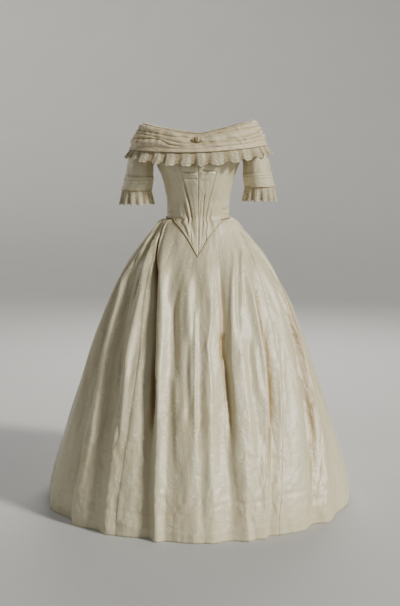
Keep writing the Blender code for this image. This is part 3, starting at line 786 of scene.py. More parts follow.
@dataclass(frozen=True)
class Lace:
    """Cotton lace: a fine net with a flower and eyelets over every scallop.

    Its edge band, threads and aged patches have spans as the damask's noises
    have, and a flower's petals swing about their mean reach.
    """

    name: str = "lace"
    thread: Colour = (0.82, 0.76, 0.58)
    # Darker colour for the aged patches and for painted shade between the flutes.
    shade: Colour = (0.50, 0.41, 0.255)
    roughness: float = 0.85
    scallop: float = 0.024
    net_cell: float = 0.0021
    net_unevenness: float = 0.35
    ground_cover: float = 0.42
    thread_span: Span = (0.20, 0.10)
    thread_depth: float = 0.0002
    band_span: Span = (0.0034, 0.0026)
    flower_level: float = 0.015
    flower_radius: float = 0.0072
    flower_edge: float = 0.0004
    petal_count: float = 5.0
    petal_swing: float = 0.24
    petal_reach: float = 0.76
    motif_depth: float = 0.0005
    aged: Grain = Grain(18.0, 18.0)
    aged_span: Span = (0.40, 0.75)
    aged_share: float = 0.55
    sheen: float = 0.15
    motifs: tuple[Leaf, ...] = (
        Leaf(-7.0, 26.0, 12.0, 4.4, 62.0),
        Leaf(7.0, 26.0, 12.0, 4.4, 118.0),
        Leaf(0.0, 31.0, 13.0, 3.6, 90.0),
        Leaf(-9.0, 40.0, 5.0, 3.4, 20.0),
        Leaf(9.0, 40.0, 5.0, 3.4, 160.0),
        Leaf(-10.5, 8.0, 8.0, 7.0, 0.0),
        Leaf(10.5, 8.0, 8.0, 7.0, 0.0),
    )
    eyelets: tuple[Leaf, ...] = (
        Leaf(-11.0, 8.0, 4.2, 4.2, 0.0),
        Leaf(11.0, 8.0, 4.2, 4.2, 0.0),
        Leaf(0.0, 15.0, 3.2, 3.2, 0.0),
        Leaf(-4.6, 5.0, 2.4, 2.4, 0.0),
        Leaf(4.6, 5.0, 2.4, 2.4, 0.0),
    )

    def material(self) -> Material:
        """Return the finish."""
        shader = Shader(self.name)
        flat = shader.flat_place()
        parts = shader.node("ShaderNodeSeparateXYZ")
        shader.feed(parts.inputs[0], flat)
        turn = shader.math("FRACT", shader.math("DIVIDE", parts.outputs["X"], self.scallop))
        across = shader.math("MULTIPLY", shader.math("SUBTRACT", turn, 0.5), self.scallop)
        joined = shader.node("ShaderNodeCombineXYZ")
        shader.feed(joined.inputs["X"], across)
        shader.feed(joined.inputs["Y"], parts.outputs["Y"])
        place = joined.outputs["Vector"]
        rise = shader.math("SUBTRACT", parts.outputs["Y"], self.flower_level)
        squares = (shader.math("MULTIPLY", side, side) for side in (across, rise))
        reach = shader.math("SQRT", shader.math("ADD", *squares))
        turns = shader.math("MULTIPLY", shader.math("ARCTAN2", rise, across), self.petal_count)
        petals = shader.math("COSINE", turns)
        petals = shader.math("MULTIPLY_ADD", petals, self.petal_swing, self.petal_reach)
        past_edge = shader.math("SUBTRACT", reach, shader.math("MULTIPLY", petals, self.flower_radius))
        flower = shader.step(past_edge, self.flower_edge, -self.flower_edge)
        band = shader.step(parts.outputs["Y"], *self.band_span)
        motif = shader.math("MAXIMUM", flower, band)
        motif = shader.math("MAXIMUM", motif, shader.ovals(place, self.motifs))
        net = shader.node("ShaderNodeTexVoronoi", feature="DISTANCE_TO_EDGE")
        shader.feed(net.inputs["Vector"], flat)
        net.inputs["Scale"].default_value = 1.0 / self.net_cell
        net.inputs["Randomness"].default_value = self.net_unevenness
        threads = shader.step(net.outputs["Distance"], *self.thread_span)
        cover = shader.math("MAXIMUM", threads, self.ground_cover)
        cover = shader.math("MAXIMUM", cover, motif)
        solid = shader.math("SUBTRACT", 1.0, shader.ovals(place, self.eyelets))
        aged = shader.step(shader.noise(shader.object_place(), self.aged), *self.aged_span)
        aged = shader.math("MULTIPLY", aged, self.aged_share)
        # Aged patches and painted shade between the flutes darken the lace to one colour.
        dim = shader.math("MAXIMUM", aged, shader.hollow())
        shader.finish({
            "Base Color": shader.mix(dim, self.thread, self.shade),
            "Alpha": shader.math("MULTIPLY", cover, solid),
            "Roughness": self.roughness,
            "Sheen Weight": self.sheen,
        })
        shader.bump((threads, self.thread_depth), (motif, self.motif_depth))
        return shader.material


@dataclass(frozen=True)
class PipingSilk:
    """Plain silk cut on the bias, tight round a cord."""

    name: str = "silk_piping"
    colour: Colour = (0.72, 0.62, 0.44)
    worn: Colour = (0.55, 0.43, 0.26)
    worn_grain: Grain = Grain(45.0, 45.0)
    worn_span: Span = (0.45, 0.75)
    weave: Grain = Grain(300.0, 900.0)
    weave_depth: float = 0.0005
    roughness: float = 0.5
    sheen: float = 0.2

    def material(self) -> Material:
        """Return the finish."""
        shader = Shader(self.name)
        place = shader.object_place()
        worn = shader.step(shader.noise(place, self.worn_grain), *self.worn_span)
        shader.finish({
            "Base Color": shader.mix(worn, self.colour, self.worn),
            "Roughness": self.roughness,
            "Sheen Weight": self.sheen,
        })
        shader.bump((shader.noise(place, self.weave), self.weave_depth))
        return shader.material


@dataclass
class DressForm:
    """The standing form that every piece of the dress lies on.

    The figure's rows are height, half width, front depth and back depth, and
    the pointed waist's rows are angle and drop below the waist.
    """

    waist_height: float = 0.968
    shoulder_lean: float = 0.028
    lean_start: float = 1.10
    lean_rise: float = 0.05
    neck_half_width: float = 0.187
    neck_front: float = 0.104
    neck_back: float = 0.102
    neck_roundness: float = 2.3
    neck_front_height: float = 1.2425
    neck_back_height: float = 1.2480
    neck_shoulder_height: float = 1.2865
    neck_rise_power: float = 1.25
    figure: tuple[tuple[float, float, float, float], ...] = (
        (0.000, 0.5210, 0.515, 0.545),
        (0.030, 0.5200, 0.512, 0.543),
        (0.093, 0.5080, 0.496, 0.530),
        (0.205, 0.4730, 0.457, 0.497),
        (0.316, 0.4390, 0.415, 0.466),
        (0.426, 0.4020, 0.371, 0.430),
        (0.536, 0.3660, 0.326, 0.395),
        (0.646, 0.3230, 0.279, 0.354),
        (0.755, 0.2730, 0.228, 0.306),
        (0.809, 0.2420, 0.198, 0.276),
        (0.849, 0.2150, 0.168, 0.247),
        (0.891, 0.1830, 0.140, 0.213),
        (0.918, 0.1610, 0.124, 0.189),
        (0.938, 0.1460, 0.1142, 0.168),
        (0.958, 0.1300, 0.1052, 0.146),
        (0.968, 0.1065, 0.1010, 0.0895),
        (0.978, 0.1060, 0.0985, 0.089),
        (1.019, 0.1055, 0.0990, 0.092),
        (1.059, 0.1120, 0.110, 0.100),
        (1.100, 0.1210, 0.122, 0.108),
        (1.140, 0.1370, 0.130, 0.113),
        (1.165, 0.1460, 0.131, 0.115),
        (1.188, 0.1550, 0.128, 0.114),
        (1.215, 0.1680, 0.117, 0.109),
        (1.250, 0.1860, 0.100, 0.099),
    )
    pointed_waist: tuple[tuple[float, float], ...] = (
        (0.0, 0.1190), (8.0, 0.0760), (17.0, 0.0450), (27.0, 0.0225), (38.0, 0.0080),
        (52.0, 0.0010), (66.0, 0.0), (180.0, 0.0),
    )

    @cached_property
    def figure_columns(self) -> tuple[SmoothColumn, SmoothColumn, SmoothColumn]:
        """The figure's half width, front depth and back depth over its height."""
        heights, *sizes = zip(*self.figure)
        return tuple(SmoothColumn(heights, size) for size in sizes)

    @cached_property
    def waist_column(self) -> SmoothColumn:
        """The waist seam's drop over the angle."""
        return SmoothColumn(*zip(*self.pointed_waist))

    def at_height(self, x: Array, y: Array, height: Array) -> Array:
        """Return points given by their heights above the hem."""
        x, y, height = np.broadcast_arrays(x, y, height)
        return np.stack([x, y, height - self.waist_height], axis=-1)

    def lean(self, points: Array) -> Array:
        """Raise the right shoulder a little above the left one."""
        height = points[..., 2] + self.waist_height
        raised = points.copy()
        share = ease((height - self.lean_start) / self.lean_rise)
        raised[..., 2] += self.shoulder_lean * points[..., 0] * share
        return raised

    def figure_point(self, angle: Array, height: Array) -> Array:
        """Return points of the figure at angles and heights."""
        half_width, front, back = self.figure_columns
        radians = np.radians(angle)
        depth = np.where(np.cos(radians) >= 0.0, front(height), back(height))
        return self.at_height(half_width(height) * np.sin(radians), -depth * np.cos(radians), height)

    def waist_seam(self, angle: Array) -> Array:
        """Return the height of the waist seam."""
        return self.waist_height - self.waist_column(np.abs(wrap(angle)))

    def oval(self, angle: Array, half_width: float, front: float, back: float, power: float) -> Array:
        """Return x and y on a rounded oval.

        Args:
            angle: Angles from the centre front.
            half_width: Half its width.
            front: Its depth to the front.
            back: Its depth to the back.
            power: 2 for an ellipse, and more for a squarer oval.

        Returns:
            An array with x first and y second.
        """
        s, c = np.sin(np.radians(angle)), np.cos(np.radians(angle))
        depth = np.where(c >= 0.0, front, back)
        x = half_width * np.sign(s) * np.abs(s) ** (2.0 / power)
        return np.stack([x, -depth * np.sign(c) * np.abs(c) ** (2.0 / power)])

    def neck_point(self, angle: Array, inset: float = 0.0) -> Array:
        """Return points of the neckline, the upper edge of the bertha."""
        half = self.neck_half_width - inset
        front, back = self.neck_front - inset, self.neck_back - inset
        x, y = self.oval(angle, half, front, back, self.neck_roundness)
        in_front = np.cos(np.radians(angle)) >= 0.0
        low = np.where(in_front, self.neck_front_height, self.neck_back_height)
        share = np.minimum(1.0, np.abs(x) / half) ** self.neck_rise_power
        return self.at_height(x, y, low + (self.neck_shoulder_height - low) * share)


class FoldLine(NamedTuple):
    """A fold of the skirt: its angles at four levels and its stand in mm at three."""

    name: str
    seam: float
    upper: float
    middle: float
    hem: float
    upper_stand: float
    middle_stand: float
    hem_stand: float


@dataclass
class Skirt:
    """The bell skirt: six widths of damask, pleated into the pointed waist.

    Levels, fades and starts are shares of the way from the hem, 0, to the
    waist, 1.  A back fold sways from its even place by the shares given for
    the waist, the upper, the middle and the hem level.
    """

    form: DressForm
    damask: Material
    silk: float = 0.0015
    seam_half: float = 0.0009
    seam_dip: float = 0.0011
    seam_roll: float = 0.0035
    seam_fade: float = 0.03
    seam_edge: Span = (0.003, 0.02)
    fold_levels: tuple[float, ...] = (0.05, 0.47, 0.83, 1.0)
    columns_per_fold: int = 15
    row_count: int = 150
    hollow_depth: float = 0.026
    back_start: float = 92.0
    back_end: float = 268.0
    back_fold_count: int = 17
    back_seam_folds: tuple[int, int] = (6, 12)
    back_fold_stand: float = 11.0
    back_fold_change: float = 3.5
    back_valley: float = 1.15
    back_stand_shares: tuple[float, ...] = (0.65, 1.0, 0.8)
    back_sway: float = 1.7
    back_sway_shares: tuple[float, ...] = (0.0, 0.5, 1.0, 1.4)
    gathers: int = 96
    gather_height: float = 0.0010
    gather_unevenness: float = 1.3
    gather_angle: float = 40.0
    gather_spread: float = 14.0
    gather_start: float = 0.86
    gather_rise: float = 0.10
    gather_fade: float = 0.012
    crease_fullness: float = 1.4
    crease_fade: float = 0.025
    shade_start: float = 0.2
    back_crease_reach: float = 56.0
    back_crease_spread: float = 1.35
    back_crease_share: float = 0.8
    front_folds: tuple[FoldLine, ...] = (
        FoldLine("side_seam_left", -92.0, -92.0, -92.0, -92.0, 0.0, 0.0, 0.0),
        FoldLine("left_outer_valley", -86.0, -84.0, -80.0, -79.0, -4.0, -8.0, -8.0),
        FoldLine("left_outer_ridge", -82.0, -78.0, -72.0, -70.0, 6.0, 12.0, 8.0),
        FoldLine("left_third_valley", -78.5, -72.0, -61.0, -55.0, -8.0, -16.0, -12.0),
        FoldLine("left_third_ridge", -74.0, -65.0, -55.0, -49.0, 8.0, 14.0, 12.0),
        FoldLine("left_second_valley", -67.0, -55.0, -44.0, -39.0, -8.0, -14.0, -5.0),
        FoldLine("left_second_ridge", -60.0, -48.0, -37.0, -33.5, 10.0, 12.0, 9.0),
        FoldLine("left_width_seam", -56.0, -41.0, -31.0, -30.0, 0.0, 0.0, 0.0),
        FoldLine("left_first_valley", -52.0, -34.0, -22.5, -18.0, -10.0, -22.0, -17.0),
        FoldLine("left_first_ridge", -46.0, -27.5, -18.0, -14.5, 8.0, 12.0, 10.0),
        FoldLine("left_centre_valley", -30.0, -19.0, -13.0, -11.0, -6.0, -10.0, -6.0),
        FoldLine("left_centre_ridge", -16.0, -8.0, -2.5, -0.5, 5.0, 8.0, 6.0),
        FoldLine("centre_dip", 0.0, 0.5, 1.0, 2.0, -2.0, 1.0, 3.0),
        FoldLine("right_centre_ridge", 10.0, 7.5, 4.5, 4.5, 6.0, 9.0, 6.0),
        FoldLine("right_centre_valley", 26.0, 16.0, 13.0, 11.5, -8.0, -18.0, -10.0),
        FoldLine("right_first_ridge", 41.0, 27.0, 20.0, 17.5, 8.0, 11.0, 10.0),
        FoldLine("right_shallow_dip", 46.0, 33.0, 26.5, 21.0, 2.0, 3.0, 3.0),
        FoldLine("right_second_ridge", 51.0, 39.5, 32.0, 23.5, 7.0, 10.0, 5.0),
        FoldLine("right_second_valley", 57.0, 46.0, 37.0, 26.0, -8.0, -16.0, -12.0),
        FoldLine("right_width_seam", 62.0, 53.0, 43.0, 29.5, 0.0, -2.0, -4.0),
        FoldLine("right_third_ridge", 72.0, 65.0, 54.0, 40.0, 8.0, 10.0, 6.0),
        FoldLine("right_third_valley", 77.5, 72.0, 62.0, 47.0, -8.0, -20.0, -16.0),
        FoldLine("right_fourth_ridge", 81.5, 77.0, 69.0, 53.0, 8.0, 12.0, 12.0),
        FoldLine("right_outer_valley", 85.0, 82.0, 76.0, 64.0, -3.0, -6.0, -6.0),
        FoldLine("right_outer_ridge", 88.5, 87.0, 84.0, 77.0, 3.0, 5.0, 5.0),
    )
    # The sixth value of a crease is its painted shade; creases of depth 0 are strips of painted shade
    # only.
    creases: tuple[Crease, ...] = (
        Crease(Run.UP, -7.0, 9.0, 4.0, (
            (0.26, -19.9), (0.37, -21.0), (0.47, -22.2), (0.56, -23.5),
            (0.67, -26.8), (0.76, -31.3), (0.86, -43.5), (0.93, -53.0), (1.02, -60.0)), 0.45),
        Crease(Run.UP, -4.0, 3.0, 2.4, (
            (0.36, -19.8), (0.42, -20.4), (0.48, -21.4), (0.56, -22.7), (0.67, -26.0),
            (0.76, -30.5), (0.86, -42.5), (0.93, -52.0), (1.02, -59.0)), 1.0),
        Crease(Run.UP, 3.5, 7.0, 14.0, (
            (0.36, -17.8), (0.45, -18.4), (0.51, -18.6), (0.65, -20.8), (0.79, -27.9),
            (0.90, -43.5))),
        Crease(Run.UP, 5.0, 5.0, 12.0, (
            (0.24, -32.5), (0.33, -33.7), (0.39, -34.5), (0.47, -36.0), (0.54, -37.8),
            (0.62, -38.9), (0.70, -40.2), (0.79, -45.0), (0.88, -54.0))),
        Crease(Run.UP, -8.0, 10.0, 4.0, (
            (0.34, -37.5), (0.46, -40.0), (0.54, -41.6), (0.65, -43.6), (0.75, -46.2),
            (0.85, -52.5), (0.92, -62.0), (1.02, -70.0)), 0.5),
        Crease(Run.UP, 3.5, 7.0, 6.0, (
            (0.36, -41.8), (0.46, -43.6), (0.52, -45.3), (0.62, -47.2), (0.73, -50.0), (0.87, -60.0))),
        Crease(Run.UP, -6.0, 5.0, 14.0, (
            (0.22, -44.0), (0.40, -47.0), (0.52, -49.8), (0.61, -52.0), (0.72, -56.5), (0.84, -68.0))),
        Crease(Run.UP, 4.5, 11.0, 5.0, (
            (0.17, -48.4), (0.26, -48.4), (0.34, -50.0), (0.43, -51.9), (0.51, -54.1),
            (0.61, -56.6), (0.72, -60.5), (0.83, -72.0), (0.88, -77.6))),
        Crease(Run.UP, 5.0, 6.0, 12.0, ((0.80, -35.5), (0.86, -44.5), (0.92, -53.0), (1.02, -57.0))),
        Crease(Run.UP, -5.0, 8.0, 5.0, ((0.78, -59.0), (0.86, -68.0), (0.93, -76.0), (1.02, -80.0))),
        Crease(Run.UP, 4.0, 6.0, 9.0, ((0.82, -60.0), (0.88, -66.0), (0.94, -72.0), (1.02, -75.0))),
        Crease(Run.UP, -4.0, 5.0, 7.0, ((0.80, 50.0), (0.87, 57.0), (0.93, 64.0), (1.02, 68.0))),
        Crease(Run.UP, -3.5, 4.0, 5.0, ((0.84, 64.0), (0.89, 71.0), (0.94, 77.0), (1.02, 80.0))),
        Crease(Run.UP, 3.6, 11.0, 11.0, ((0.20, -7.6), (0.36, -9.3), (0.50, -10.9))),
        Crease(Run.UP, -4.0, 13.0, 11.0, ((0.46, -11.0), (0.58, -13.1), (0.74, -16.5))),
        Crease(Run.UP, 3.2, 10.0, 10.0, ((0.58, -5.0), (0.66, -5.4), (0.80, -6.6))),
        Crease(Run.UP, -4.0, 9.0, 9.0, ((0.33, -4.2), (0.44, -4.8), (0.52, -5.5), (0.63, -5.0))),
        Crease(Run.UP, 2.8, 4.0, 7.0, ((0.28, -1.3), (0.40, -1.5), (0.55, -1.6), (0.72, -1.9))),
        Crease(Run.UP, -6.0, 8.0, 9.0, (
            (0.22, 13.0), (0.36, 14.0), (0.48, 14.1), (0.56, 13.4), (0.66, 15.0), (0.75, 16.0),
            (0.85, 19.0)), 0.22),
        Crease(Run.UP, -5.0, 6.0, 5.0, ((0.53, 13.3), (0.575, 13.4), (0.62, 14.2)), 0.25),
        Crease(Run.UP, 3.0, 7.0, 7.0, ((0.55, 3.6), (0.61, 5.8), (0.66, 7.4), (0.74, 8.6))),
        Crease(Run.UP, 2.4, 6.0, 6.0, ((0.40, 6.4), (0.52, 5.8), (0.61, 4.4))),
        Crease(Run.UP, 4.5, 5.0, 11.0, (
            (0.34, 17.0), (0.48, 16.9), (0.64, 19.4), (0.765, 23.8), (0.91, 38.5))),
        Crease(Run.UP, -4.0, 9.0, 7.0, ((0.60, 22.6), (0.70, 25.4), (0.76, 28.2), (0.84, 34.5))),
        Crease(Run.UP, 3.0, 6.0, 8.0, ((0.68, 27.6), (0.76, 31.0), (0.83, 37.6), (0.90, 52.0))),
        Crease(Run.UP, -8.0, 4.0, 12.0, (
            (0.11, 21.4), (0.16, 24.5), (0.28, 29.5), (0.37, 33.1), (0.46, 35.0), (0.58, 36.6),
            (0.67, 38.0), (0.74, 39.9), (0.82, 47.0))),
        Crease(Run.UP, 0.0, 7.0, 12.0, (
            (0.06, 20.5), (0.28, 31.6), (0.46, 37.6), (0.58, 39.6), (0.67, 41.2), (0.74, 43.4),
            (0.86, 52.0), (0.95, 66.0)), 0.56, 0.42),
        Crease(Run.UP, 4.0, 11.0, 4.0, (
            (0.33, 30.2), (0.46, 33.2), (0.58, 34.6), (0.67, 36.0), (0.74, 37.8), (0.82, 44.4))),
        Crease(Run.UP, -3.6, 10.0, 10.0, ((0.40, 24.6), (0.52, 25.8), (0.56, 27.1), (0.62, 28.4))),
        Crease(Run.UP, 2.0, 5.0, 5.0, ((0.30, 37.2), (0.37, 39.7), (0.49, 44.1), (0.61, 49.8))),
        Crease(Run.UP, 1.8, 4.0, 5.0, ((0.36, 42.0), (0.48, 46.6), (0.57, 51.0))),
        Crease(Run.UP, -3.0, 3.0, 9.0, (
            (0.12, 45.6), (0.25, 53.4), (0.35, 57.6), (0.46, 61.0), (0.55, 63.2), (0.63, 66.0),
            (0.69, 68.4), (0.75, 70.6), (0.83, 76.0))),
        Crease(Run.UP, 0.0, 9.0, 15.0, (
            (0.02, 42.0), (0.25, 56.8), (0.35, 61.6), (0.46, 65.8), (0.55, 68.4), (0.63, 71.0),
            (0.69, 73.2), (0.75, 75.4), (0.86, 80.5), (0.95, 87.0)), 0.72, 0.42),
        Crease(Run.UP, 4.0, 10.0, 4.0, (
            (0.24, 51.0), (0.38, 56.6), (0.47, 59.4), (0.58, 62.4), (0.68, 66.2), (0.76, 69.0))),
        Crease(Run.UP, -5.0, 4.0, 7.0, (
            (0.0, 57.0), (0.16, 62.0), (0.29, 66.8), (0.42, 71.0)), 0.30, 0.35),
        Crease(Run.UP, -5.0, 5.0, 7.0, (
            (0.0, 73.0), (0.08, 78.0), (0.17, 83.0), (0.34, 87.0)), 0.25, 0.35),
        Crease(Run.UP, -1.8, 3.0, 3.0, ((0.07, 49.0), (0.21, 57.7), (0.35, 66.9))),
        Crease(Run.UP, -1.8, 3.0, 3.0, ((0.02, 52.1), (0.126, 56.5), (0.26, 65.9))),
        Crease(Run.ROUND, -1.6, 2.4, 3.0, (
            (-176.0, 0.092), (-120.0, 0.078), (-84.0, 0.090), (-60.0, 0.086), (-40.0, 0.081),
            (-20.0, 0.075), (-5.0, 0.082), (4.0, 0.104), (14.0, 0.116), (22.0, 0.112),
            (38.0, 0.124), (60.0, 0.110), (84.0, 0.098), (120.0, 0.086), (176.0, 0.092))),
        Crease(Run.ROUND, 1.1, 5.0, 3.0, (
            (-64.0, 0.018), (-46.0, 0.030), (-33.0, 0.022), (-18.0, 0.034), (0.0, 0.026),
            (20.0, 0.036), (44.0, 0.028), (66.0, 0.034))),
    )
    crinkles: tuple[Crinkles, ...] = (
        Crinkles(11, 200, ALL_ROUND, (0.04, 0.85), (140.0, 420.0), (9.0, 22.0), 5.4, 0.0, 2.5),
        Crinkles(12, 300, ALL_ROUND, (0.02, 0.66), (40.0, 130.0), (4.0, 8.0), 2.2, 2.0, 14.0),
        Crinkles(13, 150, (-52.0, -20.0), (0.02, 0.46), (18.0, 60.0), (3.5, 6.0), 3.0, -38.0, 24.0),
        Crinkles(14, 260, ALL_ROUND, (0.01, 0.17), (20.0, 80.0), (3.5, 7.0), 3.2, 74.0, 30.0),
        Crinkles(15, 220, ALL_ROUND, (0.03, 0.15), (14.0, 40.0), (3.0, 5.0), 2.4, 8.0, 24.0),
        Crinkles(16, 110, (4.0, 60.0), (0.06, 0.42), (20.0, 60.0), (3.5, 6.5), 2.6, 46.0, 24.0),
        Crinkles(17, 120, (110.0, 250.0), (0.02, 0.46), (18.0, 60.0), (3.5, 6.0), 2.2, 34.0, 24.0),
        Crinkles(18, 120, (-40.0, 70.0), (0.12, 0.60), (14.0, 44.0), (3.5, 6.5), 1.5, 78.0, 26.0),
    )
    cuts: dict[str, FlatCut] = field(default_factory=lambda: {
        "skirt_front": FlatCut(0.66, 1.09, 0.54),
        "skirt_side_right": FlatCut(0.70, 1.10, 0.43),
        "skirt_back_right": FlatCut(0.46, 1.11, 0.35),
        "skirt_back": FlatCut(0.56, 1.12, 0.42),
        "skirt_back_left": FlatCut(0.57, 1.11, 0.43),
        "skirt_side_left": FlatCut(0.58, 1.09, 0.40),
    })

    @cached_property
    def back_creases(self) -> tuple[Crease, ...]:
        """Creases like the front's, turned to the back and a little shallower."""
        turned = []
        for crease in self.creases:
            middle = crease.stations[len(crease.stations) // 2][1]
            if crease.run is Run.ROUND or not crease.depth or abs(middle) >= self.back_crease_reach:
                continue
            stations = tuple(
                (height, 180.0 + self.back_crease_spread * angle) for height, angle in crease.stations)
            depth = self.back_crease_share * crease.depth
            turned.append(replace(crease, depth=depth, stations=stations, painted_shade=0.0))
        return tuple(turned)

    @cached_property
    def folds(self) -> tuple[FoldLine, ...]:
        """All fold lines, with the rounded uneven pleats of the back half."""
        lines = list(self.front_folds)
        spacing = (self.back_end - self.back_start) / (self.back_fold_count + 1)
        for number in range(1, self.back_fold_count + 1):
            angle = self.back_start + spacing * number
            sway = self.back_sway * math.sin(2.1 * number)
            side = 1.0 if number % 2 else -self.back_valley
            change = self.back_fold_change * math.sin(1.7 * number + 0.6)
            stand = side * (self.back_fold_stand + change)
            angles = (angle + share * sway for share in self.back_sway_shares)
            stands = (share * stand for share in self.back_stand_shares)
            lines.append(FoldLine(f"back_fold_{number}", *angles, *stands))
        return tuple(lines)

    @cached_property
    def fold_columns(self) -> tuple[tuple[SmoothColumn, SmoothColumn], ...]:
        """Each fold line's angle and stand over the skirt's height."""
        columns = []
        for line in self.folds:
            angles = (line.hem, line.middle, line.upper, line.seam)
            stands = (line.hem_stand, line.middle_stand, line.upper_stand, 0.0)
            columns.append((SmoothColumn(self.fold_levels, angles),
                            SmoothColumn((0.0, *self.fold_levels[1:]), stands)))
        return tuple(columns)

    def fold(self, index: Array, v: Array) -> tuple[Array, Array]:
        """Return the angles and the stands of numbered fold lines."""
        turns, number = np.divmod(index, len(self.folds))
        angle, stand = np.empty(v.shape), np.empty(v.shape)
        for one in np.unique(number):
            here = number == one
            angles, stands = self.fold_columns[one]
            angle[here], stand[here] = angles(v[here]), stands(v[here])
        return angle + 360.0 * turns, stand * MM

    def place(self, u: Array, v: Array) -> tuple[Array, Array, Array]:
        """Return the angles, heights and stands of places on the skirt."""
        index = np.floor(u).astype(int)
        start, low = self.fold(index, v)
        end, high = self.fold(index + 1, v)
        share = u - index
        angle = start + (end - start) * share
        stand = low * (1.0 - ease(share)) + high * ease(share)
        return angle, (self.form.waist_seam(angle) - self.seam_half) * v, stand

    def surface(self, u: Array, v: Array) -> Array:
        """Return the skirt's outer face: u counts the fold lines, v runs upwards."""
        angle, height, stand = self.place(u, v)
        return self.form.figure_point(angle, height) + outward_of(angle) * stand[..., None]

    def relief(self, start: int, end: int) -> Relief:
        """Return the lift of the creases, with the seams at two fold lines rolled in.

        Args:
            start: Number of the fold line at the first seam.
            end: Number of the fold line at the second seam.

        Returns:
            The relief of the width between them.
        """

        def lift(u: Array, v: Array) -> Array:
            """Return the lifts at places on the width."""
            angle, height, _ = self.place(u, v)
            point = self.form.figure_point(angle, height)
            radius = np.linalg.norm(point[..., :2], axis=-1)
            creases = (*self.creases, *self.back_creases)
            total = self.crease_fullness * lift_of(creases, angle, height, radius)
            total += lift_of(self.crinkles, angle, height, radius)
            total *= ease((1.0 - v) / self.crease_fade)
            total += self.gathering(angle, v)
            for line in (start, end):
                seam, _ = self.fold(np.full(u.shape, line), v)
                off = np.radians(angle - seam) * radius
                roll = np.exp(-((off / self.seam_roll) ** 2))
                total -= self.seam_dip * roll * ease((1.0 - v) / self.seam_fade)
            return total

        return lift

    def gathering(self, angle: Array, v: Array) -> Array:
        """Return the lift of the fine gathers below the waist at the sides and the back."""
        radians = np.radians(angle)
        fine = np.sin(radians * self.gathers + self.gather_unevenness * np.sin(radians * 9.0))
        at_side = ease((np.abs(wrap(angle)) - self.gather_angle) / self.gather_spread)
        near_waist = ease((v - self.gather_start) / self.gather_rise)
        return self.gather_height * fine * at_side * near_waist * ease((1.0 - v) / self.gather_fade)

    def shade(self, wall: Wall, columns: Array, rows: Array) -> Array:
        """Return how hollow a laid width lies, with the painted shade of its folds and creases.

        Args:
            wall: The laid width.
            columns: Its places round the skirt.
            rows: Its places up the skirt.

        Returns:
            The painted shade of each place, from 0 to 1.
        """
        angle, height, stand = self.place(*np.meshgrid(columns, rows))
        radius = np.linalg.norm(wall.points[..., :2], axis=-1)
        # Painted shade in the valleys and at the bottom of the tinted creases.
        valley = np.clip(-stand / self.hollow_depth, 0.0, 1.0)
        painted_valley_shade = FOLD_SHADE * ease(wall.hollow + valley - self.shade_start)
        painted_crease_shades = [crease.painted_shade_at(angle, height, radius) for crease in self.creases if crease.painted_shade]
        return np.clip(painted_valley_shade + np.maximum.reduce(painted_crease_shades), 0.0, 1.0)

    def build(self) -> None:
        """Lay the six widths of the skirt."""
        number = {line.name: i for i, line in enumerate(self.folds)}
        left, right = number["left_width_seam"], number["right_width_seam"]
        side, last = len(self.front_folds), len(self.folds)
        backs = [number[f"back_fold_{fold}"] for fold in self.back_seam_folds]
        seams = (left, right, side, *backs, last, last + left)
        rows = np.linspace(0.0, 1.0, self.row_count)
        for (node, cut), start, end in zip(self.cuts.items(), seams[:-1], seams[1:]):
            count = (end - start) * self.columns_per_fold + 1
            columns = seamed_columns(start, end, count, self.seam_edge)
            wall = lay_cloth(self.surface, self.relief(start, end), columns, rows, self.hollow_depth)
            # The width's hollow attribute holds its painted shade.
            wall.hollow = self.shade(wall, columns, rows)
            hang_cloth(node, wall, self.silk, self.damask, Slot.DAMASK)


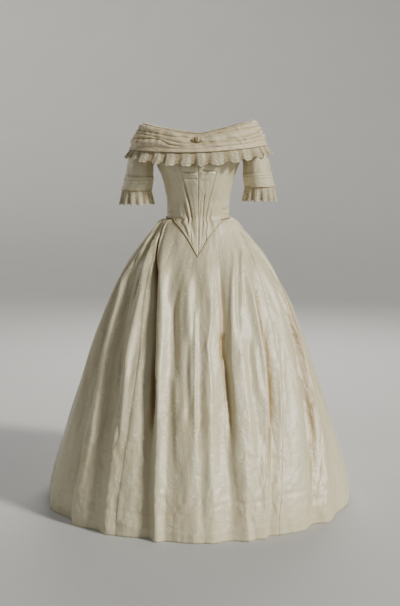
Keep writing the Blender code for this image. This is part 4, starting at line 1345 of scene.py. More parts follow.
@dataclass
class Bodice:
    """The pointed bodice in eight panels, pleated into its point.

    A seam's angles are those at the seam heights.  The upper edge's rows are
    angle and height.  Fades and starts are shares of the way from the waist,
    0, to the upper edge, 1.
    """

    form: DressForm
    damask: Material
    silk: float = 0.0015
    seam_half: float = 0.0009
    seam_edge: Span = (0.001, 0.01)
    seam_dip: float = 0.0018
    seam_roll: float = 0.0018
    neck_inset: float = 0.0040
    neck_lowered: float = 0.0012
    neck_start: float = 0.72
    neck_rise: float = 0.28
    armhole_half: float = 28.0
    armhole_ease: float = 12.0
    fan_panels: tuple[int, int] = (2, 5)
    fan_height: float = 0.0012
    fan_pleat: float = 0.06
    fan_reach: float = 0.42
    fan_edge: float = 0.10
    fan_top: float = 1.02
    fan_fade: float = 0.09
    crease_fullness: float = 1.45
    crease_shade: float = 0.42
    waist_fade: float = 0.06
    top_fade: float = 0.10
    column_count: int = 52
    row_count: int = 104
    middle_height: float = 1.05
    place_rounds: int = 12
    hollow_depth: float = 0.0034
    seam_heights: tuple[float, ...] = (0.870, 0.968, 1.100, 1.240)
    seams: tuple[tuple[float, float, float, float], ...] = (
        (-180.0, -180.0, -180.0, -180.0),
        (-168.0, -164.0, -141.0, -134.0),
        (-84.0, -86.0, -90.0, -90.0),
        (-5.6, -12.0, -24.0, -31.0),
        (0.0, 0.0, 0.0, 0.0),
        (6.2, 13.5, 27.0, 34.0),
        (84.0, 86.0, 90.0, 90.0),
        (168.0, 164.0, 141.0, 134.0),
        (180.0, 180.0, 180.0, 180.0),
    )
    top: tuple[tuple[float, float], ...] = (
        (0.0, 1.236), (30.0, 1.240), (50.0, 1.247), (58.0, 1.238), (66.0, 1.212),
        (74.0, 1.182), (82.0, 1.163), (90.0, 1.157), (98.0, 1.163), (106.0, 1.182),
        (114.0, 1.212), (122.0, 1.238), (130.0, 1.247), (150.0, 1.246), (180.0, 1.244),
    )
    creases: tuple[Crease, ...] = (
        Crease(Run.UP, -2.2, 3.0, 4.0, (
            (0.90, -3.6), (0.95, -9.0), (1.00, -14.6), (1.06, -21.5), (1.10, -25.0))),
        Crease(Run.UP, 1.5, 3.0, 3.0, ((0.91, -6.4), (0.95, -12.0), (1.00, -18.5), (1.05, -24.0))),
        Crease(Run.UP, -2.0, 3.0, 3.0, ((0.89, -5.0), (0.95, -13.4), (0.99, -22.5), (1.045, -28.5))),
        Crease(Run.UP, 2.2, 2.6, 4.0, ((0.90, -8.4), (0.935, -14.0), (0.962, -23.0), (0.990, -38.5))),
        Crease(Run.UP, -1.6, 3.0, 3.0, ((0.90, -10.0), (0.935, -17.0), (0.966, -30.0), (0.984, -42.0))),
        Crease(Run.UP, 2.0, 2.6, 3.6, ((0.89, -5.8), (0.925, -9.6), (0.955, -17.5), (0.986, -31.0))),
        Crease(Run.UP, -1.6, 2.4, 2.4, (
            (0.89, 2.6), (0.94, 5.4), (0.98, 8.4), (1.03, 10.2), (1.08, 12.8))),
        Crease(Run.UP, 1.2, 2.4, 2.4, ((0.88, 1.8), (0.94, 3.0), (1.00, 5.6), (1.05, 6.4))),
        Crease(Run.UP, 1.2, 2.4, 3.0, ((0.90, 8.0), (0.95, 12.6), (1.00, 19.5), (1.04, 24.0))),
        Crease(Run.UP, -1.2, 2.4, 3.0, ((0.90, 10.5), (0.95, 17.0), (1.00, 26.0))),
        Crease(Run.ROUND, -2.0, 2.2, 3.0, ((-27.0, 1.126), (-12.0, 1.122), (0.0, 1.121))),
        Crease(Run.ROUND, 1.5, 2.4, 3.0, ((-26.0, 1.120), (-12.0, 1.116), (-1.0, 1.115))),
        Crease(Run.ROUND, -2.4, 2.0, 3.2, ((1.0, 1.130), (15.4, 1.127), (31.0, 1.122))),
        Crease(Run.ROUND, 1.8, 2.6, 2.6, ((2.0, 1.123), (15.4, 1.120), (29.0, 1.116))),
        Crease(Run.ROUND, -1.8, 2.4, 3.0, ((-23.0, 1.103), (-11.4, 1.101), (0.0, 1.100))),
        Crease(Run.ROUND, -2.0, 2.2, 3.2, ((1.0, 1.097), (12.0, 1.095), (20.0, 1.093))),
        Crease(Run.ROUND, 1.2, 3.0, 3.0, (
            (-30.0, 1.140), (-16.0, 1.134), (0.0, 1.136), (16.0, 1.139), (30.0, 1.134))),
        Crease(Run.ROUND, -1.4, 2.6, 2.6, (
            (-36.0, 1.150), (-18.0, 1.146), (0.0, 1.149), (18.0, 1.150), (36.0, 1.146))),
        Crease(Run.ROUND, 2.0, 3.0, 3.0, ((48.0, 0.990), (62.0, 0.984), (80.0, 0.988))),
        Crease(Run.ROUND, -2.0, 3.0, 3.0, ((44.0, 1.002), (60.0, 0.998), (78.0, 1.004))),
        Crease(Run.ROUND, 1.6, 3.0, 3.0, ((50.0, 1.012), (66.0, 1.010), (84.0, 1.016))),
        Crease(Run.ROUND, -1.6, 3.0, 3.0, ((-84.0, 0.996), (-66.0, 0.990), (-50.0, 0.996))),
        Crease(Run.ROUND, -1.8, 3.0, 3.0, ((140.0, 1.000), (160.0, 0.994), (176.0, 0.998))),
        Crease(Run.ROUND, -1.8, 3.0, 3.0, ((-176.0, 1.004), (-158.0, 0.996), (-138.0, 1.002))),
        Crease(Run.ROUND, 1.4, 3.4, 3.4, ((120.0, 1.030), (150.0, 1.022), (172.0, 1.028))),
        Crease(Run.ROUND, 1.4, 3.4, 3.4, ((-172.0, 1.034), (-150.0, 1.026), (-120.0, 1.032))),
    )
    crinkles: tuple[Crinkles, ...] = (
        Crinkles(21, 110, ALL_ROUND, (0.98, 1.14), (14.0, 50.0), (3.0, 6.5), 1.3, 20.0, 40.0),
        Crinkles(22, 60, (-34.0, 34.0), (1.085, 1.15), (14.0, 40.0), (2.4, 4.5), 1.3, 88.0, 14.0),
        Crinkles(23, 70, ALL_ROUND, (0.972, 1.01), (10.0, 26.0), (2.4, 4.0), 1.3, 80.0, 20.0),
    )
    cuts: dict[str, FlatCut] = field(default_factory=lambda: {
        "bodice_back_left": FlatCut(0.145, 0.325, 0.024),
        "bodice_side_back_left": FlatCut(0.165, 0.325, 0.027),
        "bodice_side_front_left": FlatCut(0.205, 0.41, 0.038),
        "bodice_centre_front_left": FlatCut(0.11, 0.42, 0.020),
        "bodice_centre_front_right": FlatCut(0.115, 0.42, 0.021),
        "bodice_side_front_right": FlatCut(0.20, 0.41, 0.037),
        "bodice_side_back_right": FlatCut(0.165, 0.33, 0.027),
        "bodice_back_right": FlatCut(0.145, 0.33, 0.024),
    })

    @cached_property
    def seam_columns(self) -> tuple[SmoothColumn, ...]:
        """Each seam's angle over the height."""
        return tuple(SmoothColumn(self.seam_heights, seam) for seam in self.seams)

    @cached_property
    def top_column(self) -> SmoothColumn:
        """The upper edge's height over the angle."""
        return SmoothColumn(*zip(*self.top))

    def seam_angle(self, index: Array, height: Array) -> Array:
        """Return the angles of numbered seams at heights."""
        angle = np.empty(height.shape)
        for one in np.unique(index):
            here = index == one
            angle[here] = self.seam_columns[one](height[here])
        return angle

    def place(self, u: Array, v: Array) -> tuple[Array, Array]:
        """Return the angles and heights of places on the bodice."""
        index = np.clip(np.floor(u).astype(int), 0, len(self.seams) - 2)
        share = u - index
        height = np.full(u.shape, self.middle_height)
        angle = np.zeros(u.shape)
        for _ in range(self.place_rounds):
            start, end = self.seam_angle(index, height), self.seam_angle(index + 1, height)
            angle = start + (end - start) * share
            low = self.form.waist_seam(angle) + self.seam_half
            height = low + (self.top_column(np.abs(wrap(angle))) - low) * v
        return angle, height

    def surface(self, u: Array, v: Array) -> Array:
        """Return the bodice's outer face: u counts the seams, v runs upwards."""
        u, v = np.broadcast_arrays(np.asarray(u, float), np.asarray(v, float))
        angle, height = self.place(u, v)
        point = self.form.figure_point(angle, height)
        off_armhole = np.abs(np.abs(wrap(angle)) - QUARTER)
        past_armhole = ease((off_armhole - self.armhole_half) / self.armhole_ease)
        raised = ease((v - self.neck_start) / self.neck_rise) * past_armhole
        neck = self.form.neck_point(angle, self.neck_inset)
        neck[..., 2] -= self.neck_lowered
        return self.form.lean(point + (neck - point) * raised[..., None])

    def relief(self, u: Array, v: Array) -> Array:
        """Return the lift of pleats, creases and rolled seams."""
        angle, height = self.place(u, v)
        point = self.form.figure_point(angle, height)
        radius = np.linalg.norm(point[..., :2], axis=-1)
        total = self.crease_fullness * lift_of(self.creases, angle, height, radius)
        total += lift_of(self.crinkles, angle, height, radius) + self.fan(u, height)
        total *= ease(v / self.waist_fade) * ease((1.0 - v) / self.top_fade)
        nearest = np.clip(np.rint(u).astype(int), 0, len(self.seams) - 1)
        off = np.radians(angle - self.seam_angle(nearest, height)) * radius
        roll = np.exp(-((off / self.seam_roll) ** 2))
        return total - self.seam_dip * roll * ease((1.0 - v) / self.top_fade)

    def fan(self, u: Array, height: Array) -> Array:
        """Return the lift of the fine pleats that fan out of the point beside the front seams."""
        index = np.clip(np.floor(u).astype(int), 0, len(self.seams) - 2)
        left, right = self.fan_panels
        share = np.where(index == right, u - index, 1.0 - (u - index))
        low = ease((self.fan_top - height) / self.fan_fade)
        close = ease((self.fan_reach - share) / self.fan_edge)
        fan = low * close * ((index == right) | (index == left))
        return self.fan_height * fan * np.sin(share * math.pi / self.fan_pleat)

    def build(self) -> None:
        """Lay the eight panels."""
        rows = np.linspace(0.0, 1.0, self.row_count)
        for index, (node, cut) in enumerate(self.cuts.items()):
            columns = index + seamed_columns(0.0, 1.0, self.column_count, self.seam_edge)
            wall = lay_cloth(self.surface, self.relief, columns, rows, self.hollow_depth)
            # Painted shade in the creases and the dipped seams.
            wall.hollow *= self.crease_shade
            hang_cloth(
                node, wall, self.silk, self.damask, Slot.DAMASK)


@dataclass
class Bertha:
    """The draped bertha round the shoulders, in four pieces.

    Drape lines are troughs between its soft rolls: each has a level from the
    lower edge, 0, to the neck, 1, at every drape angle.  Fades are shares of
    that way too.  Drag is the fine ripple that the folds pull into the silk.
    """

    form: DressForm
    draped: Material
    silk: float = 0.0018
    half_width: float = 0.2325
    front: float = 0.1350
    back: float = 0.1290
    edge_height: float = 1.188
    edge_rise: float = 0.015
    bulge: float = 0.0035
    roundness: float = 2.05
    swell_rise: float = 0.4
    roll_rise: float = 0.3
    roll_height: float = 0.0056
    roll_power: float = 0.62
    full_roll: float = 0.22
    roll_bounds: Span = (0.25, 1.6)
    top_level: float = 1.03
    neck_fade: float = 0.06
    crinkle_fade: float = 0.08
    band: float = 0.20
    band_fade: float = 0.05
    band_share: float = 0.35
    drag_height: float = 0.0005
    drag_waves: float = 31.0
    drag_slant: float = 9.0
    drag_fade: float = 0.1
    trough_shade: float = 0.36
    trough_width: float = 0.045
    column_count: int = 122
    row_count: int = 58
    hollow_depth: float = 0.0040
    pinch_width: float = 14.0
    pinch_depth: float = 0.55
    cut: FlatCut = FlatCut(0.30, 0.11, 0.027)
    drape_angles: tuple[float, ...] = (
        -90.0, -60.0, -36.0, -22.0, -12.0, 0.0, 12.0, 25.0, 40.0, 60.0, 90.0, 120.0, 150.0, 180.0,
        210.0, 240.0, 270.0)
    drape_levels: tuple[tuple[float, ...], ...] = (
        (.20, .21, .22, .19, .20, .20, .21, .22, .20, .21, .22, .20, .21, .19, .21, .22, .20),
        (.43, .46, .52, .33, .30, .40, .43, .42, .36, .38, .42, .44, .40, .38, .41, .46, .43),
        (.60, .62, .60, .52, .46, .52, .50, .50, .48, .52, .58, .60, .62, .56, .54, .58, .60),
        (.78, .76, .74, .73, .80, .78, .90, .89, .84, .78, .76, .80, .78, .76, .80, .77, .78),
    )
    crinkles: tuple[Crinkles, ...] = (
        Crinkles(31, 300, ALL_ROUND, (1.195, 1.28), (25.0, 80.0), (1.8, 3.6), 2.3, 90.0, 12.0),
        Crinkles(32, 80, (-75.0, -25.0), (1.20, 1.27), (20.0, 50.0), (1.8, 3.4), 2.0, 62.0, 16.0),
        Crinkles(33, 80, (25.0, 75.0), (1.20, 1.27), (20.0, 50.0), (1.8, 3.4), 2.0, 118.0, 16.0),
        Crinkles(34, 60, (100.0, 260.0), (1.195, 1.25), (20.0, 50.0), (1.8, 3.4), 1.9, 76.0, 20.0),
    )

    @cached_property
    def drape_columns(self) -> tuple[SmoothColumn, ...]:
        """Each drape line's level over the angle, from the left side round."""
        return tuple(SmoothColumn(self.drape_angles, levels) for levels in self.drape_levels)

    def base(self, angle: Array, v: Array) -> Array:
        """Return the bertha's form without its drapes: v runs upwards."""
        x, y = self.form.oval(angle, self.half_width, self.front, self.back, self.roundness)
        rise = self.edge_rise * np.sin(np.radians(angle)) ** 2
        low = self.form.at_height(x, y, self.edge_height + rise)
        swell = self.bulge * 4.0 * v * (1.0 - v)
        point = low + (self.form.neck_point(angle) - low) * v[..., None]
        return self.form.lean(point + outward_of(angle, self.swell_rise) * swell[..., None])

    def levels(self, angle: Array) -> list[Array]:
        """Return the levels of the drape lines at angles."""
        turn = (angle + QUARTER) % 360.0 - QUARTER
        return [column(turn) for column in self.drape_columns]

    def surface(self, angle: Array, v: Array) -> Array:
        """Return the bertha's outer face with its soft rolls."""
        angle, v = np.broadcast_arrays(np.asarray(angle, float), np.asarray(v, float))
        levels = [*self.levels(angle), np.full(v.shape, self.top_level)]
        roll = np.zeros(v.shape)
        for low, high in zip(levels[:-1], levels[1:]):
            share = np.clip((v - low) / (high - low), 0.0, 1.0)
            fullness = np.sqrt(np.clip((high - low) / self.full_roll, *self.roll_bounds))
            roll = np.maximum(roll, fullness * (4.0 * share * (1.0 - share)) ** self.roll_power)
        pinch = 1.0 - self.pinch_depth * (1.0 - ease(np.abs(wrap(angle)) / self.pinch_width))
        stand = self.roll_height * roll * pinch * ease((1.0 - v) / self.neck_fade)
        return self.base(angle, v) + outward_of(angle, self.roll_rise) * stand[..., None]

    def relief(self, angle: Array, v: Array) -> Array:
        """Return the lift of the crinkles and of the drag between them."""
        point = self.base(angle, v)
        height = point[..., 2] + self.form.waist_height
        radius = np.linalg.norm(point[..., :2], axis=-1)
        radians = np.radians(angle)
        drag = np.sin(radians * self.drag_waves + self.drag_slant * v + 2.0 * np.sin(radians * 7.0))
        total = lift_of(self.crinkles, angle, height, radius)
        total += self.drag_height * drag * ease((v - self.band) / self.drag_fade)
        calm = self.band_share + (1.0 - self.band_share) * ease((v - self.band) / self.band_fade)
        return total * ease((1.0 - v) / self.crinkle_fade) * calm

    def trough(self, angle: Array, v: Array) -> Array:
        """Return the painted shade near the bottom of each drape line."""
        gaps = [np.abs(v - level) for level in self.levels(angle)[1:]]
        return self.trough_shade * (1.0 - ease(np.minimum.reduce(gaps) / self.trough_width))

    def build(self) -> None:
        """Lay the four pieces."""
        rows = np.linspace(0.0, 1.0, self.row_count)
        for number, quarter in enumerate(QUARTER_NAMES):
            columns = QUARTER * number + seamed_columns(0.0, QUARTER, self.column_count, QUARTER_EDGE)
            wall = lay_cloth(self.surface, self.relief, columns, rows, self.hollow_depth)
            trough = self.trough(*np.meshgrid(columns, rows))
            # Painted shade in the crinkles' hollows and along the drape troughs.
            wall.hollow = np.maximum(FOLD_SHADE * wall.hollow, trough)
            hang_cloth(f"bertha_{quarter}", wall, self.silk, self.draped, Slot.DRAPED)


@dataclass
class Knot:
    """The small knot of silk on the bertha's centre front.

    Its places are shares of its half sizes.  The shade is darkest in a ring
    round its left puff, where the photographed knot is drawn in.
    """

    bertha: Bertha
    draped: Material
    size: tuple[float, float, float] = (0.021, 0.0062, 0.0088)
    wrap_size: tuple[float, float, float] = (0.0050, 0.0074, 0.0096)
    wrap_wave: float = 0.06
    level: float = 0.66
    stand: float = 0.0004
    pinch: float = 0.62
    pinch_reach: float = 0.55
    pleat_count: int = 9
    pleat_height: float = 0.06
    pleat_twist: float = 2.0
    pleat_fade: float = 0.6
    shade: float = 0.22
    ring_shade: float = 0.75
    ring_place: float = -0.50
    ring_width: float = 0.15

    def puff(self, place: Vector) -> tuple[float, float, float]:
        """Return a place of the unit ball as it lies on the two pleated puffs."""
        x, y, z = place
        narrow = self.pinch + (1.0 - self.pinch) * min(1.0, abs(x) / self.pinch_reach)
        pleat = math.sin(self.pleat_count * math.atan2(z, y) + self.pleat_twist * x)
        full = narrow * (1.0 + self.pleat_height * pleat * (1.0 - self.pleat_fade * abs(x)))
        return (x * self.size[0], y * self.size[1] * full, z * self.size[2] * full)

    def wrapped(self, place: Vector) -> tuple[float, float, float]:
        """Return a place of the unit ball as it lies on the wrap between the puffs."""
        x, y, z = place
        full = 1.0 + self.wrap_wave * math.sin(9.0 * x + 3.0 * z)
        return (x * self.wrap_size[0], y * self.wrap_size[1] * full, z * self.wrap_size[2] * full)

    def build(self) -> None:
        """Shape two puffs and the wrap between them, and seat them on the bertha."""
        mesh = bpy.data.meshes.new("cloth_bertha_knot")
        bm = bmesh.new()
        bmesh.ops.create_uvsphere(bm, u_segments=72, v_segments=40, radius=1.0)
        puffs = set(bm.verts)
        bmesh.ops.create_uvsphere(bm, u_segments=48, v_segments=24, radius=1.0)
        for vert in bm.verts:
            vert.co = self.puff(vert.co) if vert in puffs else self.wrapped(vert.co)
        zero, level = np.zeros(1), np.full(1, self.level)
        outward = normal_at(self.bertha.surface, zero, level, NORMAL_STEP)[0]
        place = self.bertha.surface(zero, level)[0] + outward * (self.size[1] + self.stand)
        bmesh.ops.translate(bm, verts=bm.verts[:], vec=tuple(place))
        bm.to_mesh(mesh)
        bm.free()
        places = np.array([tuple(vert.co) for vert in mesh.vertices])
        # Painted shade over the knot, darkest in a ring round its left puff.
        ring = (places[:, 0] / self.size[0] - self.ring_place) / self.ring_width
        painted_knot_shade = np.clip(self.shade + self.ring_shade * np.exp(-(ring ** 2)), 0.0, 1.0)
        mark_cloth(mesh, places[:, [0, 2]], painted_knot_shade)
        mesh.materials.append(self.draped)
        hang(bpy.data.objects.new("cloth_bertha_knot", mesh), Slot.DRAPED, "bertha_knot")


@dataclass(frozen=True)
class LaceEdge:
    """The lower edge and the shade of gathered lace.

    Its scallops rise between the flutes and its small teeth between the
    stitches, up to the reach.  Its shade lies in the flutes' hollows.
    """

    scallop: float
    tooth: float
    tooth_count: int
    shade: float
    shade_start: float
    reach: float = 0.6
    scallop_power: float = 1.5
    shade_gain: float = 1.1
    shade_fade: float = 0.3

    def rise(self, angle: Array, lobe: Array, v: Array) -> Array:
        """Return how far the lace is drawn up.

        Args:
            angle: Angles of the places, in degrees.
            lobe: How far out of its flute each place lies, from 0 to 1.
            v: Places up the lace.

        Returns:
            The rises, in metres.
        """
        teeth = 1.0 - np.abs(np.sin(self.tooth_count * np.radians(angle) / 2.0))
        tip = self.scallop * (1.0 - lobe) ** self.scallop_power + self.tooth * teeth
        return tip * (1.0 - ease(v / self.reach))

    def hollow(self, turn: Array, v: Array) -> Array:
        """Return the painted shade in the hollows at turns of its flutes."""
        inner = ease(self.shade_start - self.shade_gain * np.sin(turn))
        return self.shade * inner * (1.0 - self.shade_fade * v)


@dataclass
class Ruffle:
    """The gathered lace below the bertha, in four lengths.

    Its flutes are waves whose turns and swings vary round the dress, and it
    is sewn on a little way above the bertha's lower edge.
    """

    form: DressForm
    bertha: Bertha
    lace: Material
    thickness: float = 0.0012
    waves: int = 28
    half_width: float = 0.2440
    front: float = 0.1475
    back: float = 0.1420
    edge_height: float = 1.1425
    edge_rise: float = 0.031
    wave: float = 0.0106
    tuck: float = 0.04
    inset: float = 0.0022
    wave_power: float = 0.65
    fine_wave: float = 0.16
    fullness: float = 1.7
    edge: LaceEdge = LaceEdge(0.0085, 0.0036, 85, 0.95, 0.05)
    column_count: int = 230
    row_count: int = 26
    hollow_depth: float = 0.0065
    cut: FlatCut = FlatCut(0.44, 0.055, 0.014)

    def turn(self, angle: Array) -> Array:
        """Return the turns of the flutes, uneven from one to the next."""
        radians = np.radians(angle)
        return self.waves * radians + 0.55 * np.sin(5.0 * radians + 0.8) + 0.40 * np.sin(11.0 * radians)

    def surface(self, angle: Array, v: Array) -> Array:
        """Return the lace's outer face: v runs up to the bertha's edge."""
        radians = np.radians(angle)
        level = np.full(angle.shape, self.tuck)
        inward = normal_at(self.bertha.base, angle, level, NORMAL_STEP)
        tuck = self.bertha.base(angle, level) - inward * (self.bertha.silk + self.inset)
        x, y = self.form.oval(angle, self.half_width, self.front, self.back, self.bertha.roundness)
        turn = self.turn(angle)
        lobe = 0.5 + 0.5 * np.sin(turn)
        rise = self.edge_rise * np.sin(radians) ** 2 + self.edge.rise(angle, lobe, v)
        low = self.form.lean(self.form.at_height(x, y, self.edge_height + rise))
        fall = 1.0 - v
        uneven = 0.8 + 0.25 * np.sin(3.0 * radians + 2.0) + 0.2 * np.sin(13.0 * radians + 1.0)
        shape = 1.6 * lobe ** self.wave_power - 0.6
        fine = self.fine_wave * np.sin(3.0 * turn + 1.0) * fall ** 0.5 * v
        swing = self.wave * (fall ** 0.9 * shape * uneven + fine)
        return low + (tuck - low) * v[..., None] + outward_of(angle) * swing[..., None]

    def build(self) -> None:
        """Lay the four lengths of lace."""
        rows = np.linspace(0.0, 1.0, self.row_count)
        for number, quarter in enumerate(QUARTER_NAMES):
            columns = QUARTER * number + seamed_columns(0.0, QUARTER, self.column_count, QUARTER_EDGE)
            wall = lay_cloth(self.surface, smooth_relief, columns, rows, self.hollow_depth)
            angle, v = np.meshgrid(columns, rows)
            wall.flat[..., 0] *= self.fullness
            # Painted shade in the hollows between the flutes.
            wall.hollow = self.edge.hollow(self.turn(angle), v)
            hang_cloth(f"ruffle_{quarter}", wall, self.thickness, self.lace, Slot.LACE)


@dataclass
class Sleeve:
    """A short sleeve with its tucked band, piping and gathered lace.

    Ring rows are inner x and height, outer x and height, and half depth.  Tuck
    rows are a level and how far the band stands up there.  The right sleeve is
    worked out, and the left one is its mirror image, lower by the lean of the
    shoulders.
    """

    form: DressForm
    bodice: Bodice
    side: Side
    damask: Material
    lace: Material
    piping: Material
    silk: float = 0.0015
    lace_thickness: float = 0.0012
    seam_gap: float = 0.0003
    armhole_corner: float = 50.0
    shoulder_span: float = 60.0
    shoulder_reach: float = 0.2325
    lean_share: float = 0.85
    band_stand: float = 0.0023
    piping_radius: float = 0.0013
    lace_waves: int = 13
    lace_drop: float = 0.0500
    lace_flare: float = 0.0065
    lace_wave: float = 0.0052
    wave_power: float = 0.7
    fine_wave: float = 0.25
    edge: LaceEdge = LaceEdge(0.0050, 0.0032, 21, 0.75, 0.1)
    fullness: float = 1.6
    hollow_depth: float = 0.004
    normal_step: float = 1.0
    armhole_stand: tuple[float, float, float] = (0.0012, 0.0, 0.0006)
    stand_bounds: Span = (40.0, 70.0)
    right_seed: int = 40
    left_seed: int = 50
    tube_length: float = 0.155
    arm_radius: float = 0.052
    crinkle_fade: float = 0.08
    column_count: int = 120
    sleeve_rows: int = 64
    band_rows: int = 44
    lace_rows: int = 24
    sleeve_cut: FlatCut = FlatCut(0.46, 0.24, 0.058)
    band_cut: FlatCut = FlatCut(0.355, 0.050, 0.016)
    lace_cut: FlatCut = FlatCut(0.52, 0.051, 0.020)
    rings: tuple[tuple[float, float, float, float, float], ...] = (
        (0.1580, 1.0660, 0.2580, 1.0660, 0.0570),
        (0.1545, 1.0850, 0.2520, 1.0860, 0.0572),
        (0.1525, 1.1050, 0.2465, 1.1070, 0.0575),
        (0.1508, 1.1280, 0.2420, 1.1380, 0.0580),
        (0.1500, 1.1430, 0.2350, 1.1720, 0.0575),
        (0.1490, 1.1510, 0.2200, 1.2160, 0.0570),
        (0.1470, 1.1555, 0.2030, 1.2600, 0.0560),
    )
    band_tucks: tuple[tuple[float, float], ...] = (
        (0.012, 0.0), (0.200, 0.0), (0.218, 0.0004), (0.235, 0.0019), (0.246, 0.0),
        (0.262, 0.0), (0.274, 0.0004), (0.292, 0.0019), (0.303, 0.0), (0.325, 0.0),
    )

    @property
    def rise(self) -> float:
        """How far the shoulders' lean lifts this sleeve."""
        return self.form.shoulder_lean * self.shoulder_reach * self.lean_share

    def armhole(self, angle: Array) -> Array:
        """Return the armhole edge of the right side, angle 0 at the shoulder."""
        turn = wrap(angle)
        over = QUARTER + (QUARTER - self.armhole_corner) * turn / self.shoulder_span
        neck = self.form.neck_point(over, self.bodice.neck_inset)
        neck[..., 2] -= self.bodice.neck_lowered
        share = (180.0 - np.abs(turn)) / (180.0 - self.shoulder_span)
        under = QUARTER + np.sign(turn) * (QUARTER - self.armhole_corner) * share
        seam = np.where(under >= QUARTER, 6, 5)
        height = self.bodice.top_column(under)
        start, end = self.bodice.seam_angle(seam, height), self.bodice.seam_angle(seam + 1, height)
        below = self.bodice.surface(seam + (under - start) / (end - start), np.ones(angle.shape))
        return np.where((np.abs(turn) <= self.shoulder_span)[..., None], self.form.lean(neck), below)

    def ring_point(self, ring: tuple[float, ...], angle: Array) -> Array:
        """Return points of one of the sleeve's rings."""
        inner_x, inner_height, outer_x, outer_height, depth = ring
        radians = np.radians(angle)
        inner = self.form.at_height(inner_x, 0.0, inner_height)
        outer = self.form.at_height(outer_x, 0.0, outer_height)
        reach = (outer - inner) / 2.0 * np.cos(radians)[..., None]
        reach[..., 1] += depth * np.sin(radians)
        reach[..., 2] += self.rise
        return (inner + outer) / 2.0 + reach

    def right_surface(self, angle: Array, v: Array) -> Array:
        """Return the right sleeve's outer face: v runs from the cuff upwards."""
        start, end = self.stand_bounds
        below_shoulder = ease((np.abs(wrap(angle)) - start) / (end - start))
        top = self.armhole(angle) + below_shoulder[..., None] * np.array(self.armhole_stand)
        rings = np.stack([*(self.ring_point(ring, angle) for ring in self.rings), top])
        last = len(rings) - 1
        place = np.clip(v * last, 0.0, last - SMALLEST)
        index = place.astype(int)
        t = (place - index)[..., None]

        def at(number: Array) -> Array:
            """Return the points of the numbered rings."""
            chosen = np.clip(number, 0, last)[None, ..., None]
            return np.take_along_axis(rings, np.broadcast_to(chosen, (1, *number.shape, 3)), axis=0)[0]

        low, high = at(index), at(index + 1)
        leave, arrive = (high - at(index - 1)) / 2.0, (at(index + 2) - low) / 2.0
        a = 2.0 * t ** 3 - 3.0 * t * t + 1.0
        b, c = t ** 3 - 2.0 * t * t + t, t ** 3 - t * t
        return low * a + high * (1.0 - a) + leave * b + arrive * c

    def right_band(self, angle: Array, v: Array) -> Array:
        """Return the right cuff band, laid on the sleeve with two raised tucks."""
        tuck = SmoothColumn(*zip(*self.band_tucks))(v)
        outward = normal_at(self.right_surface, angle, v, self.normal_step)
        return self.right_surface(angle, v) + outward * (self.band_stand + tuck)[..., None]

    def right_lace(self, angle: Array, v: Array) -> Array:
        """Return the right cuff's gathered lace below the sleeve's edge."""
        edge = self.right_surface(angle, np.zeros(angle.shape))
        radians = np.radians(angle)
        outward = np.stack([np.cos(radians), np.sin(radians), np.zeros(angle.shape)], axis=-1)
        fall = 1.0 - v
        turn = self.lace_turn(angle)
        lobe = 0.5 + 0.5 * np.sin(turn)
        shape = 2.0 * lobe ** self.wave_power - 1.0
        fine = self.fine_wave * np.sin(3.0 * turn + 0.7) * v * fall ** 0.5
        swing = self.lace_flare * fall + self.lace_wave * (fall ** 0.8 * shape + fine)
        point = edge + outward * swing[..., None]
        point[..., 2] += self.edge.rise(angle, lobe, v) - self.lace_drop * fall - 2.0 * self.seam_gap
        return point

    def lace_turn(self, angle: Array) -> Array:
        """Return the turns of the cuff's flutes."""
        radians = np.radians(angle)
        uneven = 0.5 * np.sin(3.0 * radians + 0.5) + 0.4 * np.sin(5.0 * radians)
        return self.lace_waves * radians + uneven

    def on_side(self, surface: Surface) -> Surface:
        """Return a surface as it is on this sleeve's side."""
        if self.side is Side.RIGHT:
            return surface

        def mirrored(angle: Array, v: Array) -> Array:
            """Return the right side's point, mirrored and lowered."""
            point = surface(-angle, v)
            return point * np.array([-1.0, 1.0, 1.0]) - np.array([0.0, 0.0, 2.0 * self.rise])

        return mirrored

    def relief(self, *sets: Crinkles) -> Relief:
        """Return the lift of crinkles on a tube, its places read as angle and height."""

        def lift(angle: Array, v: Array) -> Array:
            """Return the lift, faded out below the armhole."""
            radius = np.full(angle.shape, self.arm_radius)
            lifted = lift_of(sets, angle, v * self.tube_length, radius)
            return lifted * ease((1.0 - v) / self.crinkle_fade)

        return lift

    def build(self) -> None:
        """Lay the sleeve, its band and its lace, and put the piping round it."""
        name = self.side.value
        seed, turn = (self.right_seed, 1.0) if self.side is Side.RIGHT else (self.left_seed, -1.0)
        columns = np.linspace(0.0, 360.0, self.column_count + 1)
        rows = np.linspace(0.0, 1.0, self.sleeve_rows)
        creased = self.relief(
            Crinkles(seed, 26, ALL_ROUND, (0.04, 0.15), (40.0, 110.0), (5.0, 11.0), 2.0,
                     6.0 * turn, 12.0),
            Crinkles(seed + 1, 30, ALL_ROUND, (0.05, 0.15), (16.0, 40.0), (3.0, 5.0), 1.1,
                     60.0 * turn, 30.0))
        wall = lay_cloth(self.on_side(self.right_surface), creased, columns, rows, self.hollow_depth)
        # Painted shade in the crinkles' hollows.
        wall.hollow *= FOLD_SHADE
        hang_cloth(f"sleeve_{name}", wall, self.silk, self.damask, Slot.DAMASK,
                   True)
        crinkled = self.relief(
            Crinkles(seed + 2, 90, ALL_ROUND, (0.012, 0.033), (6.0, 16.0), (1.4, 2.6), 0.9, 20.0, 40.0))
        band = self.on_side(self.right_band)
        first, last = self.band_tucks[0][0], self.band_tucks[-1][0]
        rows = np.linspace(first, last, self.band_rows)
        wall = lay_cloth(band, crinkled, columns, rows, self.hollow_depth)
